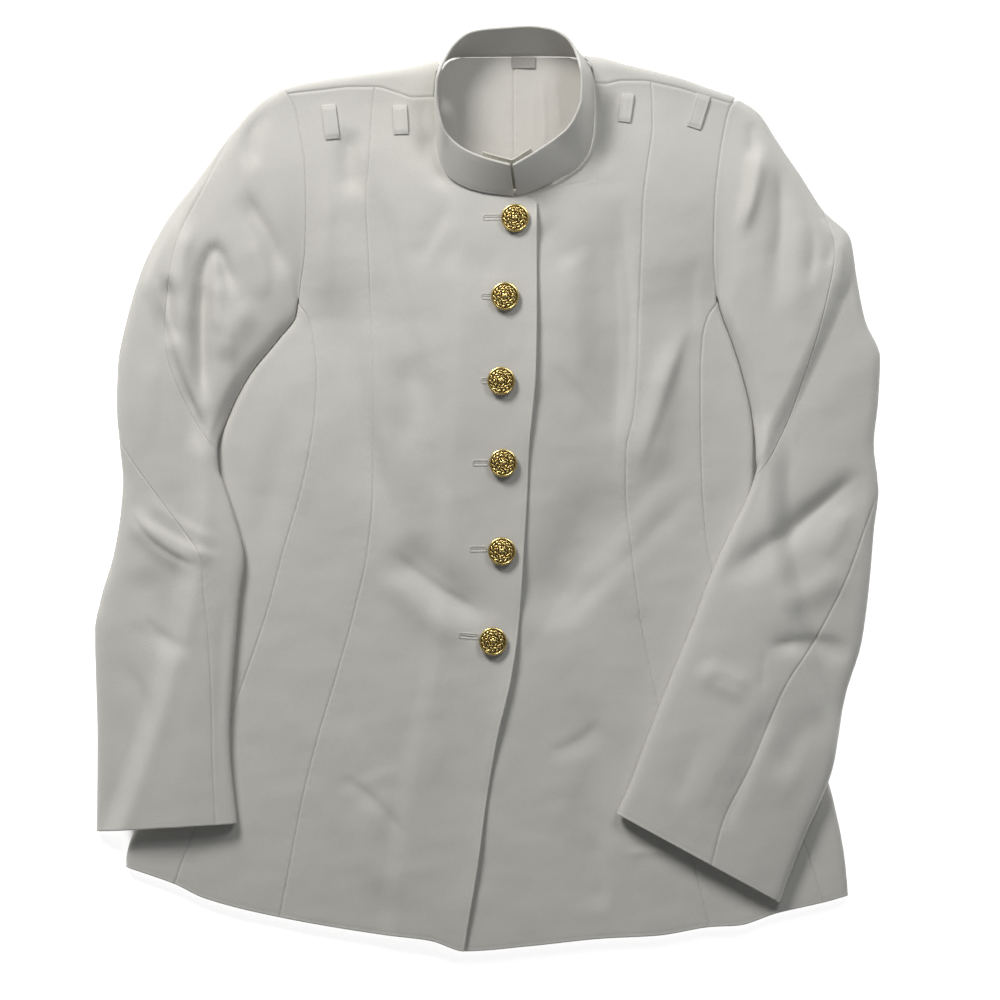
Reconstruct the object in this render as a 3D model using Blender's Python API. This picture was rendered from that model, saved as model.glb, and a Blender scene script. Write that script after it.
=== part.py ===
"""Naval dress tunic with a stand collar, laid flat on its back.

The tunic lies on the plane z = 0 with its hem towards -Y. The wearer's right is at -X.
Tables hold millimetres. Meshes are made in metres.
"""
import math

import bpy
import numpy as np

MM = 0.001

# Cloth and seams
CLOTH = 1.6
SEAM_GAP = 0.3
SEAT_GAP = 0.35
CLEARANCE = 1.1
FLOOR_MID = CLOTH / 2

# Collar, buttons and loops
COLLAR_HEIGHT = 35.0
COLLAR_WALL = 2.4
COLLAR_LAP = 2.6
COLLAR_FLOOR = 1.9
COLLAR_SEAT = 0.9
COLLAR_DOWN_FROM = 1.5
COLLAR_DOWN_TO = 345.0
LAP_WIDTH = 42.0
LAP_LIFT = CLOTH + 0.5
LAP_START = 34.0
LAP_RUN = 18.0
BUTTON_SIDES = 16
LOOP_WALL = 1.2
LOOP_ARCH = 1.4
LINING = 1.0

# Spacing of the points on each wall
FRONT_COLUMN = 19.0
FRONT_ROWS = 38
BACK_COLUMN = 40.0
BACK_ROWS = (0.0, 0.06, 0.14, 0.2, 0.25, 0.28, 0.31, 0.34, 0.37, 0.41, 0.46, 0.53, 0.61, 0.69, 0.77, 0.85,
             0.93, 1.0)
STRIP_ROWS = (-1.0, -0.8, -0.62, -0.46, -0.3, -0.15, 0.0)
SLEEVE_ROW = 0.5
SLEEVE_CLOSE_ROW = 0.05
EDGE_ZONE = 0.06
EDGE_STEP = 0.036
OPEN_STEP = 0.15
SLANT_STEP = 0.02
UNDERSIDE_REACH = 46.0
NECK_STRIP_RIGHT = -44.0
NECK_STRIP_LEFT = 87.5
BACK_NECK = 342.6
ARMPIT = 150.0
ARMPIT_RUN = 24.0
ARMPIT_GAP = 3.0
UNDERARM_COLUMNS = (2.6, 6.2, 20.0, 40.0, 60.0, 80.0)

# Lines down the body: where each one crosses the level y
BODY_LINES_COLUMNS = ("y", "edge_right", "seam_right", "princess_right", "opening",
                      "princess_left", "seam_left", "edge_left")
BODY_LINES = (
    (325, -167, -167, -90, 39.6, 131, 208, 208),
    (305, -154.5, -154.5, -92, 39.6, 132, 194, 194),
    (290, -151, -151, -93, 39.6, 132, 190, 190),
    (260, -146, -146, -95, 39.6, 128, 185, 185),
    (230, -145, -145, -97, 39.6, 124.5, 182, 182),
    (190, -146, -146, -95, 39.6, 123, 181, 181),
    (165, -149.5, -149.5, -94, 39.6, 122, 182.5, 182.5),
    (150, -151.5, -151, -93.5, 39.6, 121.5, 183, 184),
    (138, -153, -144.5, -93, 39.6, 121, 176.5, 187),
    (120, -166, -139.5, -92.5, 39.4, 120.5, 172, 194),
    (90, -190, -136.5, -91.5, 38.6, 119.5, 170.5, 203.5),
    (60, -205.5, -138, -91.5, 36, 117, 170.5, 210.5),
    (30, -215, -142.5, -91.5, 33.4, 111, 171, 213.5),
    (0, -214, -149, -91.5, 32.2, 110.5, 172, 213),
    (-50, -218, -163.5, -96, 29.2, 115.5, 176.5, 217),
    (-100, -227, -177, -107, 26, 122, 191, 228),
    (-150, -240, -194, -121, 19.5, 131.5, 208, 243),
    (-200, -255, -211, -136, 8, 143, 224.5, 261),
    (-250, -272, -228, -148.5, -0.6, 154.5, 241, 276.5),
    (-300, -289, -245, -158, -7.3, 165.5, 259, 286),
    (-350, -289, -262, -168, -15.5, 178, 276, 290),
    (-380, -289, -272, -175, -20.5, 185, 286, 292),
)

# Height of the front's mid-surface at the level y: at the side, at 0.7 and 0.35 of the half
# width, and in the middle
CROWN_COLUMNS = ("y", "edge", "outer", "inner", "middle")
CROWN = (
    (325, 8.8, 11.5, 13.5, 15),
    (290, 12, 15.5, 18.5, 19.5),
    (260, 14, 18, 22, 23.5),
    (230, 15, 20, 24.5, 26.5),
    (190, 13, 20.5, 26, 28.5),
    (165, 10, 19, 26.5, 29.5),
    (150, 8.6, 18, 26.5, 29.5),
    (120, 8.4, 17, 26, 29),
    (60, 8.4, 15.5, 23.5, 26.5),
    (0, 8.4, 14, 20, 22.5),
    (-60, 8.4, 12.5, 17, 19),
    (-120, 8.2, 11.5, 14.5, 16),
    (-200, 7.8, 10.2, 12.2, 13.2),
    (-300, 7.2, 8.8, 9.8, 10.4),
    (-380, 6.8, 7.8, 8.6, 9.0),
)
CROWN_SHARES = (1.0, 0.7, 0.35, 0.0)

# Bottom edge and, at the top, the shoulder fold and the shoulder seam
HEM_COLUMNS = ("x", "y")
HEM = (
    (-290, -303), (-250, -317), (-227, -328), (-168, -343), (-86, -357), (-46, -362),
    (-18, -370.5), (33, -366.5), (90, -360.5), (136, -358), (180, -351), (200, -350),
    (232, -340), (271, -331), (292, -325),
)
SHOULDER_COLUMNS = ("x", "fold_y", "seam_y", "seam_z")
SHOULDER = (
    (-176, 315.5, 309.5, 8.6), (-160, 321, 316, 8.8), (-138, 326, 318.5, 10.4), (-108, 330.5, 321.5, 12.6),
    (-90, 333, 321.5, 13.6), (-72, 335.5, 316.8, 14.6), (-59, 338, 313, 15.2), (-43, 342, 313.5, 15.6),
    (20, 350, 318, 16.0), (83, 346, 324.5, 15.6), (94, 344, 324, 15.2), (108, 340, 326.5, 13.6),
    (123, 336.5, 326.5, 12.2), (141, 332, 323.5, 11.4), (156, 328, 320, 10.2), (174, 321.5, 314.5, 9.4),
    (200, 312.5, 306.5, 8.8), (214, 305, 299, 8.6),
)

# Collar stations, from its right front end round the back of the neck to its left front end:
# plan position of the neck seam and of the top edge
COLLAR_COLUMNS = ("seam_x", "seam_y", "top_x", "top_y")
COLLAR = (
    (21, 234, 18, 258), (5, 235.5, 3, 262), (-9, 238, -10, 266.5), (-21, 242.5, -20.5, 272),
    (-31, 250, -29.5, 279.5), (-37.5, 262, -35.5, 288), (-40, 279, -39, 300), (-41, 297, -41, 312),
    (-41.3, 313, -40.5, 325), (-40, 329, -37, 336), (-36, 341, -31.5, 347), (-26, 346.3, -25, 356),
    (-10, 346.6, -15, 364), (5, 346.6, -3, 367), (21, 346.8, 14, 368.5), (38, 347, 33, 369.7),
    (54, 347, 50, 367.5), (68, 346.6, 61.5, 361.5), (78, 343, 68.5, 352.5), (83, 333, 72.5, 341),
    (84.6, 318, 75, 326), (84.8, 302, 74.5, 311), (84, 285, 70.5, 298.5), (80.5, 269, 64, 288),
    (72, 257.5, 53.5, 279), (58, 248.5, 42, 271), (42, 240.5, 31, 264), (23.4, 234, 20.2, 257.5),
)
COLLAR_HEIGHT_STEPS = 2
COLLAR_POINTS = 40
NECK_CENTRE = (21.5, 292.0)

# The right front's top corner at the opening, and where its neck edge starts beside it
CORNER_LEVELS = (229.0, 231.5)
CORNER_WIDTH = 4.0
NECK_START = (30.0, 234.0)

UNDERLAP_WALL = 1.4
UNDERLAP_STATIONS = 3
UNDERLAP_GAP = 0.9
UNDERLAP_ENDS = 0.5
UNDERLAP_FROM = 0.14
UNDERLAP_TO = 1.09

# Sleeve sections from the armhole to the cuff: the outer and inner edge in plan, the height
# of the crown between them, and where the two sleeve seams cross. A seam's place counts
# from 0 at the outer edge over the top to 1 at the inner edge, and on to 2 underneath.
SLEEVE_COLUMNS = ("outer_x", "outer_y", "inner_x", "inner_y", "crown", "seam_a", "seam_b")
SLEEVE_RIGHT = (
    (-164, 320, -152.5, 151.5, 8.0, -0.78, -0.05),
    (-181, 309.5, -154, 138, 9.0, -0.76, -0.03),
    (-203.5, 285.5, -164, 124, 9.0, -0.73, 0.01),
    (-230, 249.5, -177.5, 108, 9.0, -0.68, 0.07),
    (-257, 213.5, -188.5, 96, 8.5, -0.61, 0.14),
    (-275, 179, -196, 82, 8.0, -0.52, 0.25),
    (-287.5, 139, -205.5, 64.5, 7.5, -0.40, 0.37),
    (-295.5, 99, -215, 44.5, 7.0, -0.27, 0.70),
    (-296.5, 67, -217, 31, 6.5, -0.12, 0.96),
    (-294, 35, -216, 17, 6.0, 0.05, 1.08),
    (-291.5, 7, -210, -1, 6.0, 0.25, 1.20),
    (-293, -16, -203, -22.5, 6.0, 0.43, 1.30),
    (-299, -53, -195.5, -55.5, 6.0, 0.66, 1.42),
    (-309, -87.5, -199, -86, 5.5, 0.74, 1.50),
    (-314, -117, -202, -121, 5.5, 0.80, 1.56),
    (-312, -201, -207, -198, 5.0, 0.86, 1.60),
    (-312.5, -274.5, -201, -268, 4.5, 0.84, 1.60),
)
SLEEVE_LEFT = (
    (201, 311.5, 184.5, 152, 8.0, -0.80, -0.08),
    (216, 301.5, 187.5, 143, 9.0, -0.79, -0.08),
    (231, 279, 191, 131, 9.0, -0.78, -0.07),
    (250, 251, 196, 116.5, 9.0, -0.76, -0.05),
    (269, 222, 202, 101.5, 8.5, -0.74, 0.02),
    (290, 200.5, 207.5, 83, 8.0, -0.68, 0.16),
    (295.5, 167, 212, 63, 7.5, -0.58, 0.36),
    (302, 135, 215.5, 42, 7.0, -0.44, 0.60),
    (314, 104.5, 217, 22, 6.5, -0.30, 0.83),
    (312.5, 71, 213, 5, 6.0, -0.18, 1.02),
    (309, 35, 206, -13, 6.0, -0.08, 1.13),
    (312.5, -1, 196.5, -31.5, 6.0, 0.02, 1.20),
    (309, -33, 187.5, -50.5, 6.0, 0.08, 1.24),
    (306, -69, 178, -71.5, 6.0, 0.15, 1.28),
    (299.5, -121, 164.5, -108, 5.5, 0.27, 1.33),
    (286, -166.5, 149, -146, 5.0, 0.36, 1.36),
    (275.5, -223.5, 127.5, -201, 5.0, 0.42, 1.36),
    (251, -283.5, 114, -237, 4.5, 0.45, 1.32),
    (233, -330.5, 103.5, -260, 4.5, 0.42, 1.30),
)
SLEEVE_EDGE = 4.0
SLEEVE_SEAM = 0.5
ARMHOLE_GAP = 0.45
GIRTH_HALF = 110.0
SECTION_APART = 20.0
BESIDE = 4.4
SKIN_ROOM = CLOTH + 0.8
ARMHOLE_REACH = 2.6
BACK_ARMHOLE_SHARE = 0.5
BACK_HIDDEN_GAP = 2.4
LIFT_FROM = 62.0
LIFT_OVER = 40.0
LIFT_START = 30.0
LIFT_RUN = 22.0

# Largest folds: start, middle and end of a bent line in plan, its half width and its depth,
# a ridge being positive
BODY_FOLDS = (
    ((-106, 290), (-112, 262), (-106, 232), 9, -3.2),
    ((-133, 170), (-112, 75), (-88, -20), 17, -2.6),
    ((-78, -40), (-42, -70), (6, -112), 15, -3.6),
    ((-90, -62), (-58, -92), (-14, -128), 11, 1.8),
    ((-76, 30), (-62, 60), (-66, 110), 13, -2.0),
    ((88, 232), (92, 150), (98, 30), 15, -3.0),
    ((100, 10), (70, -45), (30, -110), 22, -3.6),
    ((160, 10), (118, -40), (84, -92), 14, 2.2),
    ((146, 120), (138, 60), (128, 0), 12, 2.2),
    ((70, 175), (52, 200), (40, 215), 12, -1.6),
    ((-48, 290), (-46, 262), (-30, 238), 8, -2.4),
    ((100, 318), (96, 285), (92, 250), 8, -2.4),
    ((-70, -240), (-95, -285), (-62, -330), 15, 1.8),
    ((60, -160), (88, -230), (70, -300), 20, -1.8),
    ((-40, 200), (-10, 178), (14, 168), 16, -1.2),
    ((-165, 60), (-172, 0), (-186, -60), 12, -1.5),
)
SLEEVE_FOLDS_RIGHT = (
    ((-172, 305), (-188, 285), (-185, 255), 8, -2.6),
    ((-200, 240), (-182, 212), (-160, 166), 9, -3.4),
    ((-214, 222), (-202, 190), (-208, 162), 9, -3.6),
    ((-222, 185), (-228, 130), (-226, 62), 9, -5.0),
    ((-252, 170), (-254, 145), (-252, 118), 8, -3.2),
    ((-236, 225), (-242, 185), (-240, 110), 9, 2.6),
    ((-184, 150), (-200, 132), (-214, 100), 10, 2.2),
    ((-288, -14), (-262, -44), (-229, -62), 9, 3.4),
    ((-284, -60), (-262, -100), (-250, -140), 14, -1.8),
    ((-232, -70), (-250, -130), (-262, -190), 13, 1.6),
)
SLEEVE_FOLDS_LEFT = (
    ((232, 275), (234, 215), (232, 130), 9, -4.0),
    ((218, 275), (214, 240), (206, 212), 8, 2.8),
    ((256, 240), (252, 190), (246, 130), 11, 1.8),
    ((210, 296), (211, 280), (211, 262), 6, -2.4),
    ((308, 14), (266, -18), (186, -74), 13, -3.4),
    ((296, -130), (252, -116), (214, -128), 10, -3.0),
    ((288, -60), (258, -84), (226, -86), 11, 2.2),
    ((212, -164), (180, -150), (168, -140), 10, 2.0),
    ((280, -178), (252, -196), (232, -236), 12, -1.8),
)

# Crease where each forearm lies over the upper arm: start, middle and end of its line, the
# rise onto the forearm, the dip beside it, the ramp's width and the length of its run-out
STEP_RIGHT = ((-288, 200), (-249, 103), (-208, 2), 4.6, 1.6, 8.0, 60.0)
STEP_LEFT = ((300, 215), (261, 110), (203, -2), 4.6, 1.6, 8.0, 60.0)

# Lift of the free front edge above the front beneath it
FLARE_COLUMNS = ("y", "lift")
FLARE = ((230, 0.0), (214, 2.6), (180, 1.2), (150, 2.2), (90, 3.0), (55, 2.4), (15, 0.6), (-40, 1.2),
         (-75, 3.0), (-105, 0.8), (-140, 3.2), (-190, 2.6), (-240, 0.8), (-300, 2.4), (-370, 1.0))
FLARE_REACH = 9.0

# Buttons from the top down: x, y
BUTTONS = ((22, 216), (14, 153.5), (11, 86), (12.5, 20.5), (11.5, -50), (4.5, -122))
# Shank, rim and dome of a button: radius, height above its seat
BUTTON_PROFILE = ((2.6, 0.0), (2.6, 2.2), (11.2, 2.6), (11.2, 4.2), (9.6, 4.3), (6.0, 5.6))
BUTTON_TOP = 6.2

# Shoulder loops: name, centre x and y, width, length and lean from the Y axis in degrees
LOOPS = (
    ("shoulder_loop_outer_right", -125.5, 293.5, 11.5, 28, 7),
    ("shoulder_loop_inner_right", -69.5, 295, 11.5, 23.5, 3),
    ("shoulder_loop_inner_left", 111, 304.5, 10, 23, -8),
    ("shoulder_loop_outer_left", 169, 302, 11.5, 28, -17),
)

# Lining that shows inside the neck, and the tab on it
LINING_SEAM = 21.0
LINING_BOTTOM = 205.0
LINING_COLUMNS = ("y", "right_x", "left_x")
LINING_SIDES = ((205, -52, 98), (280, -62, 106), (318, -50, 96), (336, -33, 77), (340.5, -26, 68))
HANGER_WIDTH = 19.0
HANGER_WALL = 0.9
HANGER_X = 29.0
HANGER_LOW = (336.8, 3.75)
HANGER_HIGH = (346.0, 4.3)


def smooth(share):
    """Ease from 0 to 1 with level ends."""
    share = np.clip(share, 0.0, 1.0)
    return share * share * (3.0 - 2.0 * share)


def curve(knots, values):
    """A smooth line through a table's values that never overshoots them."""
    knots = np.asarray(knots, float)
    values = np.asarray(values, float)
    if knots[0] > knots[-1]:
        knots = knots[::-1]
        values = values[::-1]
    gaps = np.diff(knots)
    slopes = np.diff(values) / gaps
    tangents = np.zeros_like(values)
    tangents[0] = slopes[0]
    tangents[-1] = slopes[-1]
    for i in range(1, len(values) - 1):
        if slopes[i - 1] * slopes[i] > 0:
            tangents[i] = 2.0 / (1.0 / slopes[i - 1] + 1.0 / slopes[i])

    def at(where):
        where = np.clip(where, knots[0], knots[-1])
        i = np.clip(np.searchsorted(knots, where) - 1, 0, len(gaps) - 1)
        t = (where - knots[i]) / gaps[i]
        start = (1 + 2 * t) * (1 - t) ** 2 * values[i] + t * (1 - t) ** 2 * gaps[i] * tangents[i]
        end = t * t * (3 - 2 * t) * values[i + 1] + t * t * (t - 1) * gaps[i] * tangents[i + 1]
        return start + end

    return at


def table_curve(rows, columns, knot, value):
    """The curve of one named column of a table against another."""
    at = columns.index(knot)
    to = columns.index(value)
    return curve([row[at] for row in rows], [row[to] for row in rows])


LINE = {name: table_curve(BODY_LINES, BODY_LINES_COLUMNS, "y", name) for name in BODY_LINES_COLUMNS[1:]}
CROWN_AT = {name: table_curve(CROWN, CROWN_COLUMNS, "y", name) for name in CROWN_COLUMNS[1:]}
hem_y = table_curve(HEM, HEM_COLUMNS, "x", "y")
fold_y = table_curve(SHOULDER, SHOULDER_COLUMNS, "x", "fold_y")
shoulder_y = table_curve(SHOULDER, SHOULDER_COLUMNS, "x", "seam_y")
shoulder_z = table_curve(SHOULDER, SHOULDER_COLUMNS, "x", "seam_z")
flare_at = table_curve(FLARE, FLARE_COLUMNS, "y", "lift")


def bent_line(points, x, y):
    """Distance to a bent line, share of its length, and the signed side of it."""
    lengths = [math.dist(a, b) for a, b in zip(points, points[1:])]
    total = sum(lengths)
    best = np.full(np.shape(x), 1e9)
    share = np.zeros(np.shape(x))
    side = np.zeros(np.shape(x))
    passed = 0.0
    for (ax, ay), (bx, by), length in zip(points, points[1:], lengths):
        dx = (bx - ax) / length
        dy = (by - ay) / length
        run = np.clip((x - ax) * dx + (y - ay) * dy, 0.0, length)
        distance = np.hypot(x - ax - run * dx, y - ay - run * dy)
        cross = (x - ax) * dy - (y - ay) * dx
        nearer = distance < best
        best = np.where(nearer, distance, best)
        share = np.where(nearer, (passed + run) / total, share)
        side = np.where(nearer, np.sign(cross), side)
        passed += length
    return best, share, side


def rounded(points):
    """More points along a bent line of three, so that its bend is soft."""
    a, b, c = points
    line = []
    for k in range(9):
        t = k / 8
        line.append(tuple((1 - t) ** 2 * a[i] + 2 * t * (1 - t) * (2 * b[i] - (a[i] + c[i]) / 2) + t * t * c[i]
                          for i in (0, 1)))
    return line


def folds_height(folds, x, y):
    """Sum of the soft ridges and troughs of a fold table."""
    height = np.zeros(np.shape(x))
    for start, middle, end, half_width, depth in folds:
        distance, share, _ = bent_line(rounded((start, middle, end)), x, y)
        ends = smooth(share / 0.3) * smooth((1 - share) / 0.3)
        height += depth * ends * np.exp(-(distance / half_width) ** 2)
    return height


def step_height(step, x, y, forearm_side):
    """Step up onto the forearm, fading down the sleeve, with a dip on the side beneath."""
    start, middle, end, rise, dip, ramp, run_out = step
    distance, _, side = bent_line(rounded((start, middle, end)), x, y)
    signed = distance * side * forearm_side
    up = rise * smooth(0.5 + signed / (2 * ramp)) * np.exp(-np.maximum(signed, 0) / run_out)
    down = -dip * np.exp(-(np.minimum(signed, 0) / (3 * ramp)) ** 2) * (1 - smooth(0.5 + signed / (2 * ramp)))
    return up + down


def half_width(y):
    return (LINE["edge_left"](y) - LINE["edge_right"](y)) / 2


def middle_x(y):
    return (LINE["edge_left"](y) + LINE["edge_right"](y)) / 2


def crown_height(x, y):
    """Smooth height of the front, even in x about the middle of the body."""
    share = np.clip(np.abs(x - middle_x(y)) / half_width(y), 0.0, 1.0) ** 2
    nodes = [s * s for s in CROWN_SHARES]
    height = np.zeros(np.shape(share))
    for i, name in enumerate(CROWN_COLUMNS[1:]):
        weight = np.ones(np.shape(share))
        for j, other in enumerate(nodes):
            if j != i:
                weight = weight * (share - other) / (nodes[i] - other)
        height = height + weight * CROWN_AT[name](y)
    return height


def plain_height(x, y):
    """Front height before folds, brought down to the shoulder seam at the top."""
    ease = smooth((shoulder_y(x) - y) / 62.0)
    return shoulder_z(x) * (1 - ease) + crown_height(x, y) * ease


def front_height(x, y):
    """Mid-surface of the front with its folds, which fade out at the sides and top."""
    inside = half_width(y) - np.abs(x - middle_x(y))
    fade = smooth(inside / 16.0) * smooth((shoulder_y(x) - y) / 14.0)
    return plain_height(x, y) + fade * folds_height(BODY_FOLDS, x, y)


def lapped_height(x, y):
    """Mid-surface of the right front, which passes over the left front at the opening."""
    lap = smooth((x - (LINE["opening"](y) - LAP_WIDTH - LAP_START)) / LAP_RUN)
    flare = flare_at(y) * np.exp(-np.maximum(LINE["opening"](y) - x, 0) / FLARE_REACH)
    return front_height(x, y) + LAP_LIFT * lap + flare


def solve_x(level, line, low=-340.0, high=340.0):
    """Where a row, y = level(x), crosses a line, x = line(y)."""
    for _ in range(44):
        x = (low + high) / 2
        if x < line(level(x)):
            low = x
        else:
            high = x
    return (low + high) / 2


def row_points(first, last, columns, spare):
    """A row's two ends and every column line between them."""
    inner = [c for c in columns if first + spare < c < last - spare]
    return [first] + inner + [last]


def stitch(upper, lower, faces, base_upper, base_lower):
    """Triangles between two rows of one panel, each row running the same way."""
    i = 0
    j = 0
    while i < len(upper) - 1 or j < len(lower) - 1:
        more_upper = i < len(upper) - 1
        more_lower = j < len(lower) - 1
        ends = i == len(upper) - 2 and j == len(lower) - 2
        if more_upper and more_lower and (upper[i + 1] == lower[j + 1] or ends):
            faces.append((base_upper + i, base_lower + j, base_lower + j + 1))
            faces.append((base_upper + i, base_lower + j + 1, base_upper + i + 1))
            i += 1
            j += 1
        elif more_upper and (not more_lower or upper[i + 1] < lower[j + 1]):
            faces.append((base_upper + i, base_lower + j, base_upper + i + 1))
            i += 1
        else:
            faces.append((base_upper + i, base_lower + j, base_lower + j + 1))
            j += 1


def sheet(surface, rows, ends, columns, spare, seams=None):
    """Points, normals and triangles of a cloth panel in its own rows and columns.

    With seams given, both panels at a seam take the normal on the seam itself.
    """
    places = []
    upright = []
    starts = []
    lists = []
    for row in rows:
        first, last = ends(row)
        points = row_points(first, last, columns(row) if callable(columns) else columns, spare)
        starts.append(len(places))
        lists.append(points)
        places.extend((row, c) for c in points)
        low, high = seams(row) if seams else (first, last)
        upright.extend([low] + points[1:-1] + [high])
    faces = []
    for k in range(len(rows) - 1):
        stitch(lists[k], lists[k + 1], faces, starts[k], starts[k + 1])
    down = np.array([p[0] for p in places])
    across = np.array([p[1] for p in places])
    points = surface(down, across)
    across = np.array(upright)
    row_step = (rows[-1] - rows[0]) * 1e-4
    column_step = 0.02
    along_row = surface(down + row_step, across) - surface(down - row_step, across)
    along_column = surface(down, across + column_step) - surface(down, across - column_step)
    normals = np.cross(along_row, along_column)
    normals /= np.linalg.norm(normals, axis=1)[:, None]
    return points, normals, faces


def joined(parts):
    """One sheet from several whose common points coincide."""
    index = {}
    points = []
    normals = []
    faces = []
    for part_points, part_normals, part_faces in parts:
        names = []
        for point, normal in zip(part_points, part_normals):
            key = tuple(np.round(point, 3))
            if key not in index:
                index[key] = len(points)
                points.append(point)
                normals.append(normal)
            names.append(index[key])
        faces.extend(tuple(names[i] for i in face) for face in part_faces)
    return np.array(points), np.array(normals), faces


def wall_object(name, cut, thickness, material):
    """A closed wall of even thickness about a panel's mid-surface."""
    points, normals, faces = cut
    count = len(points)
    outer = points + normals * thickness / 2
    inner = points - normals * thickness / 2
    edges = set()
    for a, b, c in faces:
        edges.update(((a, b), (b, c), (c, a)))
    solid = list(faces)
    solid.extend((c + count, b + count, a + count) for a, b, c in faces)
    for a, b in edges:
        if (b, a) in edges:
            continue
        # Both panels at a seam split their rims the same way
        if a < b:
            solid.append((b, a, b + count))
            solid.append((a, a + count, b + count))
        else:
            solid.append((b, a, a + count))
            solid.append((b, a + count, b + count))
    return mesh_object(name, np.vstack((outer, inner)), sorted(solid), material)


def mesh_object(name, points, faces, material):
    mesh = bpy.data.meshes.new(name)
    mesh.from_pydata([tuple(p) for p in np.asarray(points) * MM], [], [tuple(f) for f in faces])
    mesh.materials.append(material)
    piece = bpy.data.objects.new(name, mesh)
    bpy.context.scene.collection.objects.link(piece)
    return piece


def plain_material(name, colour, roughness, metallic=0.0):
    material = bpy.data.materials.new(name)
    material.use_nodes = True
    shader = material.node_tree.nodes["Principled BSDF"]
    shader.inputs["Base Color"].default_value = (*colour, 1.0)
    shader.inputs["Roughness"].default_value = roughness
    shader.inputs["Metallic"].default_value = metallic
    return material


def column_lines(spacing, low=-352.0, high=352.0):
    count = int(round((high - low) / spacing))
    return [low + spacing * k for k in range(count + 1)]


def shared_columns(*fixed):
    """Column lines that the fronts and the strips behind the shoulder seams have in common."""
    fixed = fixed + (NECK_STRIP_RIGHT, NECK_STRIP_LEFT)
    free = [c for c in column_lines(FRONT_COLUMN) if min(abs(c - f) for f in fixed) > 3.0]
    return sorted(free + list(fixed))


def even_rows(first, last, count):
    return [first + (last - first) * k / count for k in range(count + 1)]


def hanging_rows(top):
    """Level of the row t between a top line and the hem."""
    def level(t, x):
        return top(x) * (1 - t) + hem_y(x) * t
    return level


def front_panel(name, first_line, last_line, height, material):
    """A front panel from the shoulder seam to the hem, between two lines."""
    level = hanging_rows(lambda x: shoulder_y(x) - SEAM_GAP / 2)

    def surface(t, x):
        y = level(t, x)
        return np.stack((x, y, height(x, y)), axis=-1)

    def ends(t):
        first = solve_x(lambda x: level(t, x), first_line) + SEAM_GAP / 2
        last = solve_x(lambda x: level(t, x), last_line) - SEAM_GAP / 2
        return first, last

    rows = even_rows(0.0, 1.0, FRONT_ROWS)
    cut = sheet(surface, rows, ends, shared_columns(), 3.0)
    return wall_object(name, cut, CLOTH, material)


def fold_round(arc, radius):
    """Distance in from a folded edge and rise about its centre, for a place along the arc."""
    angle = np.clip(arc / radius, -math.pi / 2, math.pi / 2)
    inward = radius * (1 - np.cos(angle)) + np.maximum(np.abs(arc) - radius * math.pi / 2, 0)
    return inward, radius * np.sin(angle)


def arc_for(inward, radius):
    """Place along the arc for a distance in from the folded edge."""
    if inward >= radius:
        return inward - radius + radius * math.pi / 2
    return radius * math.acos(1 - max(inward, 0.0) / radius)


def under_reach(y):
    """How far in from the folded side the underarm panel ends underneath."""
    return 3.0 + (UNDERSIDE_REACH - 3.0) * smooth((ARMPIT - y) / 90.0)


def edge_radius(y):
    return (CROWN_AT["edge"](y) - FLOOR_MID) / 2


def underarm_panel(name, edge, seam, side, material):
    """A side panel that folds round the body's edge onto the underside."""
    level = hanging_rows(lambda x: shoulder_y(x) - SEAM_GAP / 2)

    top_x = float(LINE[seam](ARMPIT))
    top_y = float(shoulder_y(top_x))
    first_row = (top_y - ARMPIT + SEAM_GAP / 2) / (top_y - float(hem_y(top_x)))

    def place(t, arc):
        x = LINE[edge](level(t, side * 200.0)) - side * fold_round(arc, 4.0)[0]
        for _ in range(3):
            y = level(t, x)
            radius = edge_radius(y)
            x = LINE[edge](y) - side * fold_round(arc, radius)[0]
        return x, level(t, x), radius

    def surface(t, column):
        arc = -side * column
        x, y, radius = place(t, arc)
        inward, rise = fold_round(arc, radius)
        crown = np.where(arc > 0, front_height(x, y) - CROWN_AT["edge"](y), 0.0)
        crown = crown * smooth(inward / (2 * radius))
        return np.stack((x, y, FLOOR_MID + radius + rise + crown), axis=-1)

    def ends(t):
        y = ARMPIT - (ARMPIT + 330.0) * (t - first_row) / (1 - first_row)
        for _ in range(8):
            x = float(LINE[seam](y))
            y = float(level(t, x))
        radius = float(edge_radius(y))
        arc = arc_for(abs(float(LINE[edge](y)) - x) - SEAM_GAP / 2, radius)
        under = arc_for(float(under_reach(y)) - SEAM_GAP / 2, radius)
        return tuple(sorted((-side * arc, side * under)))

    columns = [0.0] + [c * s for c in UNDERARM_COLUMNS for s in (1, -1)]
    rows = [first_row] + [t for t in even_rows(0.0, 1.0, FRONT_ROWS) if t > first_row + 0.006]
    cut = sheet(surface, rows, ends, sorted(columns), 2.0)
    return wall_object(name, cut, CLOTH, material)


def back_armhole(edge, sleeve):
    """Armhole of the back, halfway between the front armhole and a straight line."""
    outer = sleeve[0]

    def at(y):
        share = (outer[1] - y) / (outer[1] - outer[3])
        straight = outer[0] + (outer[2] - outer[0]) * share
        return straight + BACK_ARMHOLE_SHARE * (LINE[edge](y) - straight)

    return at


def centre_back(y):
    return 10.0 + 10.5 * (y + 20.0) / 360.0


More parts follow.
